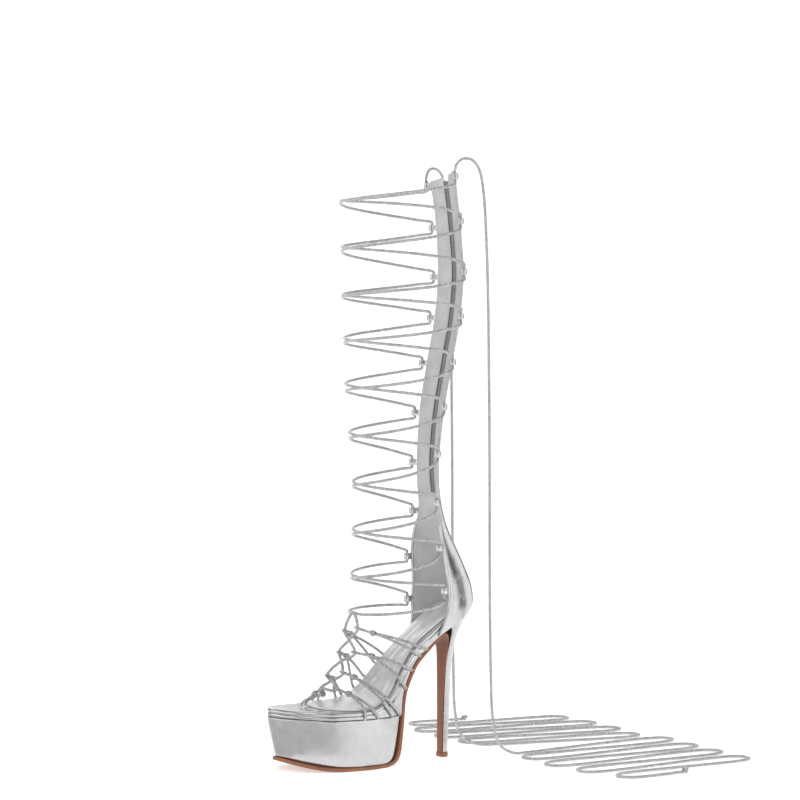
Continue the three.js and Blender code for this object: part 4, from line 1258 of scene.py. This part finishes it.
def make_zip():
    """Two tapes and their interlocked teeth, up the middle of the strip."""
    form = Form()
    section = ((0.35, 0.55), (ZIP_HALF, 0.45), (ZIP_HALF, 1.35), (0.35, 1.35))
    for side in (-1, 1):
        form.rings([[band_point(z, side * across, deep) for across, deep in section]
                    for z in climb(ZIP_BOTTOM + 0.5, ZIP_TOP - 3, 2)])
    tooth, pitch = slab(0.95, 0.85, 0.25, 1), 1.3
    for k, z in enumerate(climb(ZIP_BOTTOM + 2, ZIP_TOP - 5, pitch)):
        side = 1 if k % 2 else -1
        line = [band_point(z, side * across, deep)
                for across, deep in ((1.65, 0.62), (0.2, 0.42), (-0.5, 0.52))]
        form.sweep(line, tooth, up=(0, 0, 1), slot=1)
    finish_piece(form.build("zip_band", zip_tape(), metal()), "zip_tape", "zip")


def make_slider():
    """The slider: two plates, a waist and a crown that the pull hangs from."""
    form = Form()
    back = UPPER.read("back", SLIDER_Z)
    front = back - 1.1
    plate = ((4.5, 3.6), (4.2, 4.4), (2.4, 4.2), (-3.6, 2.9), (-4.5, 2.3))
    form.rings([[(front + b, a, SLIDER_Z + z) for a, b in slab(half, 1.1, 0.45, 3)] for z, half in plate])
    crown = [(back - off, 0, SLIDER_Z + up) for off, up in (
        (1.5, 3.2), (3.2, 3.2), (5.6, 1.9), (6.1, 0.2), (5.0, -0.55), (3.0, -1.2), (1.5, -1.4))]
    form.sweep(Course(crown).spaced(0.4), slab(0.6, 0.75, 0.25, 2), up=(0, 1, 0))
    finish_piece(form.build("slider", metal()), "zip_metal", "zip_slider")


def make_pull():
    """The pull tab: a flat, rounded plate with a hole for the crown."""
    form = Form()
    (x0, _, z0), (x1, _, z1) = ([v / MM for v in corner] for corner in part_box("zip_pull"))
    middle, thick = (x0 + x1) / 2, x1 - x0
    hinge, hole_radius, neck, half, count = SLIDER_Z, 1.05, 2.3, 3.0, 40
    rings = []
    for level, inset in ((-0.5, 0.35), (-0.32, 0.08), (-0.1, 0), (0.1, 0), (0.32, 0.08), (0.5, 0.35)):
        outer, hole = [], []
        for k in range(count):
            a = TAU * k / count + math.pi / 2
            c, s = math.cos(a), math.sin(a)
            if s > 0:
                y = c * neck
                z = (min(s * 2.4, z1 - hinge) if s > 0.5 else s * 2.4) * 0.78
            else:
                y = math.copysign(min(abs(c) * 1.25, 1), c) * mix(neck, half, min(1, -s * 1.5))
                z = s * (hinge - z0 - half * 0.2) if s > -0.8 else -(hinge - z0) * (0.2 + 0.8 * -s)
                y *= rounding(1 + s + 0.01, 0.5)
            shrink = 1 - inset / 3
            outer.append((middle + level * thick, y * shrink, hinge + z * (1 - inset / 12)))
            wide = hole_radius + inset
            hole.append((middle + level * thick, wide * c, hinge + wide * s))
        rings.append((outer, hole))
    for outer, hole in rings:
        form.points.extend(outer + hole)
    n = 2 * count
    for i in range(len(rings) - 1):
        for k in range(count):
            m = (k + 1) % count
            form.face((i * n + k, i * n + m, (i + 1) * n + m, (i + 1) * n + k))
            form.face((i * n + count + k, (i + 1) * n + count + k,
                       (i + 1) * n + count + m, i * n + count + m))
    for end in (0, (len(rings) - 1) * n):
        for k in range(count):
            m = (k + 1) % count
            form.face((end + k, end + m, end + count + m, end + count + k))
    finish_piece(form.build("pull_tab", metal()), "zip_metal", "zip_pull", body="pull")


# ---------------------------------------------------------------- the stage
def make_camera():
    """A long lens a little over the floor, level with the shoe's middle."""
    azimuth, distance, aside = math.radians(149), 2.75, 0.0583
    height, aim_height, lens = 0.45, 0.3574, 127.44
    back = Vector((math.sin(azimuth), -math.cos(azimuth), 0))
    right = Vector((math.cos(azimuth), math.sin(azimuth), 0))
    data = bpy.data.cameras.new("camera")
    data.sensor_width, data.lens = 36, lens
    camera = bpy.data.objects.new("camera", data)
    bpy.context.scene.collection.objects.link(camera)
    camera.location = back * distance + right * aside + Vector((0, 0, height))
    aim = right * aside + Vector((0, 0, aim_height))
    camera.rotation_euler = (aim - camera.location).to_track_quat("-Z", "Y").to_euler()
    bpy.context.scene.camera = camera


def make_floor():
    """A wide pale bowl: a flat floor that turns up into a wall all round."""
    look = bpy.context.scene.sandal_colours
    f = Finish("studio floor", base_color=(*look.floor, 1), roughness=0.7,
               emission_color=(1, 1, 1, 1), emission_strength=0.5)
    f.feed("Roughness", 0.62 + f.noise(4, 2) * 0.1)
    material = f.bump((f.noise(60, 2), 0.02))
    form = Form()
    flat, bend, top, sides = 4200, 1500, 3600, 96
    profile = [(0.05, 0), (2500, 0), (flat, 0)]
    profile += [(flat + bend * math.sin(a), bend * (1 - math.cos(a)))
                for a in map(math.radians, range(6, 91, 6))]
    profile.append((flat + bend, top))
    rings = [[(r * math.cos(TAU * k / sides), r * math.sin(TAU * k / sides), z) for k in range(sides)]
             for r, z in profile]
    form.rings(rings, caps=None)
    floor = form.build("studio_floor", material, sharp=80)
    floor.data.flip_normals()


# Each light: its place and aim in metres, its width and height, and its power in watts.
LIGHTS = {
    "key": ((1.9, 1.6, 2.2), (0, 0, 0.2), (1.2, 1.6), 20),
    "side": ((-2.4, 1.4, 1.3), (-0.05, 0, 0.3), (0.9, 1.8), 10),
    "back": ((-0.6, -2.6, 1.9), (0, 0, 0.3), (2.2, 1.2), 9),
    "top": ((0, 0, 3.3), (0, 0, 0), (2.6, 2.6), 14)}


def make_lights():
    """Four soft lights and a pale sky."""
    power = bpy.context.scene.sandal_sizes.light_power
    for name, (place, aim, (width, height), watts) in LIGHTS.items():
        data = bpy.data.lights.new(name, "AREA")
        data.shape, data.size, data.size_y, data.energy = "RECTANGLE", width, height, watts * power
        light = bpy.data.objects.new(name, data)
        light.location = place
        light.rotation_euler = (Vector(aim) - Vector(place)).to_track_quat("-Z", "Y").to_euler()
        bpy.context.scene.collection.objects.link(light)
    world = bpy.data.worlds.new("studio")
    world.use_nodes = True
    sky = world.node_tree.nodes["Background"]
    sky.inputs["Color"].default_value, sky.inputs["Strength"].default_value = (1, 1, 1, 1), 0.3 * power
    bpy.context.scene.world = world
    bpy.context.scene.view_settings.view_transform = "Standard"


# Each dark card: the way it lies in degrees, its distance and width, and its bottom and top.
DARK_CARDS = ((128, 1600, 900, 60, 1600), (166, 1700, 420, 100, 1500), (246, 1300, 560, 0, 1500),
              (300, 1500, 420, 0, 1600), (20, 1500, 700, 0, 1500), (329, 3400, 2600, 380, 640))
FLOOR_CARD = ((-60, 70), (40, 62), (62, 50), (80, 16), (80, -260), (300, -260), (300, 330), (-60, 330))


def make_card(name, finish, corners):
    """A flat card that only shows in reflections."""
    form = Form()
    lift = Vector((0, 0, 1))
    form.rings([[tuple(c) for c in corners], [tuple(Vector(c) + lift) for c in corners]])
    card = form.build(name, finish)
    card.visible_camera = card.visible_shadow = card.visible_diffuse = False


def make_cards():
    """Dark cards out of view, and one on the floor, seen only in reflections, that glows and has shade
    painted on it towards the toe.
    """
    f = Finish("dark card", base_color=(0.02, 0.02, 0.02, 1), roughness=0.8)
    dark = f.bump((f.noise(40, 2), 0.02))
    for number, (azimuth, reach, width, low, high) in enumerate(DARK_CARDS):
        a = math.radians(azimuth)
        out, along = Vector((math.sin(a), -math.cos(a), 0)) * reach, Vector((math.cos(a), math.sin(a), 0))
        make_card(f"dark_card_{number}", dark, [out + along * (s * width / 2) + Vector((0, 0, z))
                                                for s, z in ((-1, low), (1, low), (1, high), (-1, high))])
    # Painted shade: a glowing card, darker towards the toe, that the platform reflects instead of the
    # floor, standing in for the floor's shadow.
    f = Finish("painted shade card", base_color=(0.9, 0.9, 0.9, 1), roughness=0.8, emission_strength=0.5)
    toward_toe, _, _ = f.split(f.place)
    fade = f.blend(toward_toe.ease(-40 * MM, 95 * MM), (0.92, 0.92, 0.92, 1), (0.5, 0.5, 0.5, 1))
    f.feed("Base Color", fade)
    f.feed("Emission Color", fade)
    fading = f.bump((f.noise(40, 2), 0.02))
    make_card("painted_shade_card", fading, [Vector((x, y, 2)) for x, y in FLOOR_CARD])


# ---------------------------------------------------------------- settings
class SandalSizes(bpy.types.PropertyGroup):
    """Sizes and strengths"""
    stitch_pitch: FloatProperty(name="Stitch length", description="Distance from stitch to stitch",
                                default=0.0028, unit="LENGTH")
    braid_pitch: FloatProperty(name="Braid pitch", description="Length of one turn of the braid, in mm",
                               default=5.2)
    braid_strands: IntProperty(name="Braid strands", description="Bundles round the cord", default=4)
    light_power: FloatProperty(name="Light", description="Strength of the studio lights", default=1.0)


def colour(name, description, *default):
    """A colour setting."""
    return FloatVectorProperty(name=name, description=description, subtype="COLOR", default=default)


class SandalColours(bpy.types.PropertyGroup):
    """Colours of the materials"""
    silver: colour("Silver foil", "Foil leather", 0.58, 0.58, 0.585)
    tan: colour("Tan", "Outsole and heel breast", 0.265, 0.105, 0.052)
    sock: colour("Sock", "Pale insole leather", 0.72, 0.72, 0.73)
    lining: colour("Lining", "Grey lining", 0.48, 0.48, 0.485)
    cord: colour("Cord", "Metallic cord", 0.85, 0.85, 0.86)
    tape: colour("Zip tape", "Woven tape", 0.2, 0.2, 0.205)
    floor: colour("Floor", "Studio floor", 0.9, 0.9, 0.9)


class Step:
    """What the operators share: each runs its own list of makers."""

    def execute(self, context):
        for make, *values in self.makes:
            make(*values)
        return {"FINISHED"}


class SANDAL_OT_stage(Step, bpy.types.Operator):
    """Make the camera, the floor and the lights"""
    bl_idname = "sandal.stage"
    bl_label = "Stage"
    makes = ((make_camera,), (make_floor,), (make_lights,), (make_cards,))


class SANDAL_OT_ties(Step, bpy.types.Operator):
    """Make the two free ties and their end knots"""
    bl_idname = "sandal.ties"
    bl_label = "Ties"
    makes = ((make_tie, "outer", OUTER_TIE), (make_tie, "inner", INNER_TIE))


class SANDAL_OT_sole(Step, bpy.types.Operator):
    """Make the outsole, platform, footbed, sock, heel and toplift"""
    bl_idname = "sandal.sole"
    bl_label = "Sole unit"
    makes = ((make_outsole,), (make_platform,), (make_footbed,), (make_insole,), (make_heel,),
             (make_toplift,))


class SANDAL_OT_upper(Step, bpy.types.Operator):
    """Make the counter and back strip, their piping and stitches"""
    bl_idname = "sandal.upper"
    bl_label = "Upper"
    makes = ((make_upper,), (make_edge_piping,), (make_stitching,))


class SANDAL_OT_tabs(Step, bpy.types.Operator):
    """Make the lace tabs on both edges of the strip"""
    bl_idname = "sandal.tabs"
    bl_label = "Lace tabs"
    makes = [(make_tab, tab, side) for side in (1, -1) for tab in range(1, 11)]


class SANDAL_OT_straps(Step, bpy.types.Operator):
    """Make the knotted foot straps and the toe post"""
    bl_idname = "sandal.straps"
    bl_label = "Foot straps"
    makes = [(make_strap, row) for row in STRAPS] + [(make_toe_post,)]


class SANDAL_OT_lacing(Step, bpy.types.Operator):
    """Run the lace from the toe post up to the top tabs"""
    bl_idname = "sandal.lacing"
    bl_label = "Lacing"
    makes = ((make_lace, 1), (make_lace, -1))


class SANDAL_OT_zip(Step, bpy.types.Operator):
    """Make the back zip with its slider and pull tab"""
    bl_idname = "sandal.zip"
    bl_label = "Zip"
    makes = ((make_zip,), (make_slider,), (make_pull,))


STEPS = (SANDAL_OT_stage, SANDAL_OT_ties, SANDAL_OT_sole, SANDAL_OT_upper, SANDAL_OT_tabs,
         SANDAL_OT_straps, SANDAL_OT_lacing, SANDAL_OT_zip)


class SANDAL_PT_panel(bpy.types.Panel):
    """Lists the sandal's settings and building steps"""
    bl_label = "Gladiator sandal"
    bl_idname = "SANDAL_PT_panel"
    bl_space_type = "VIEW_3D"
    bl_region_type = "UI"
    bl_category = "Sandal"

    def draw(self, context):
        for group in (context.scene.sandal_sizes, context.scene.sandal_colours):
            for name in group.__annotations__:
                self.layout.prop(group, name)
        for step in STEPS:
            self.layout.operator(step.bl_idname)


CLASSES = (SandalSizes, SandalColours, *STEPS, SANDAL_PT_panel)


def register():
    """Adds the settings, the steps and the panel."""
    for item in CLASSES:
        bpy.utils.register_class(item)
    bpy.types.Scene.sandal_sizes = PointerProperty(type=SandalSizes)
    bpy.types.Scene.sandal_colours = PointerProperty(type=SandalColours)


def unregister():
    """Takes them away again."""
    del bpy.types.Scene.sandal_colours
    del bpy.types.Scene.sandal_sizes
    for item in reversed(CLASSES):
        bpy.utils.unregister_class(item)


def main():
    """Builds the sandal."""
    register()
    for step in STEPS:
        group, name = step.bl_idname.split(".")
        getattr(getattr(bpy.ops, group), name)()


if __name__ == "__main__":
    main()
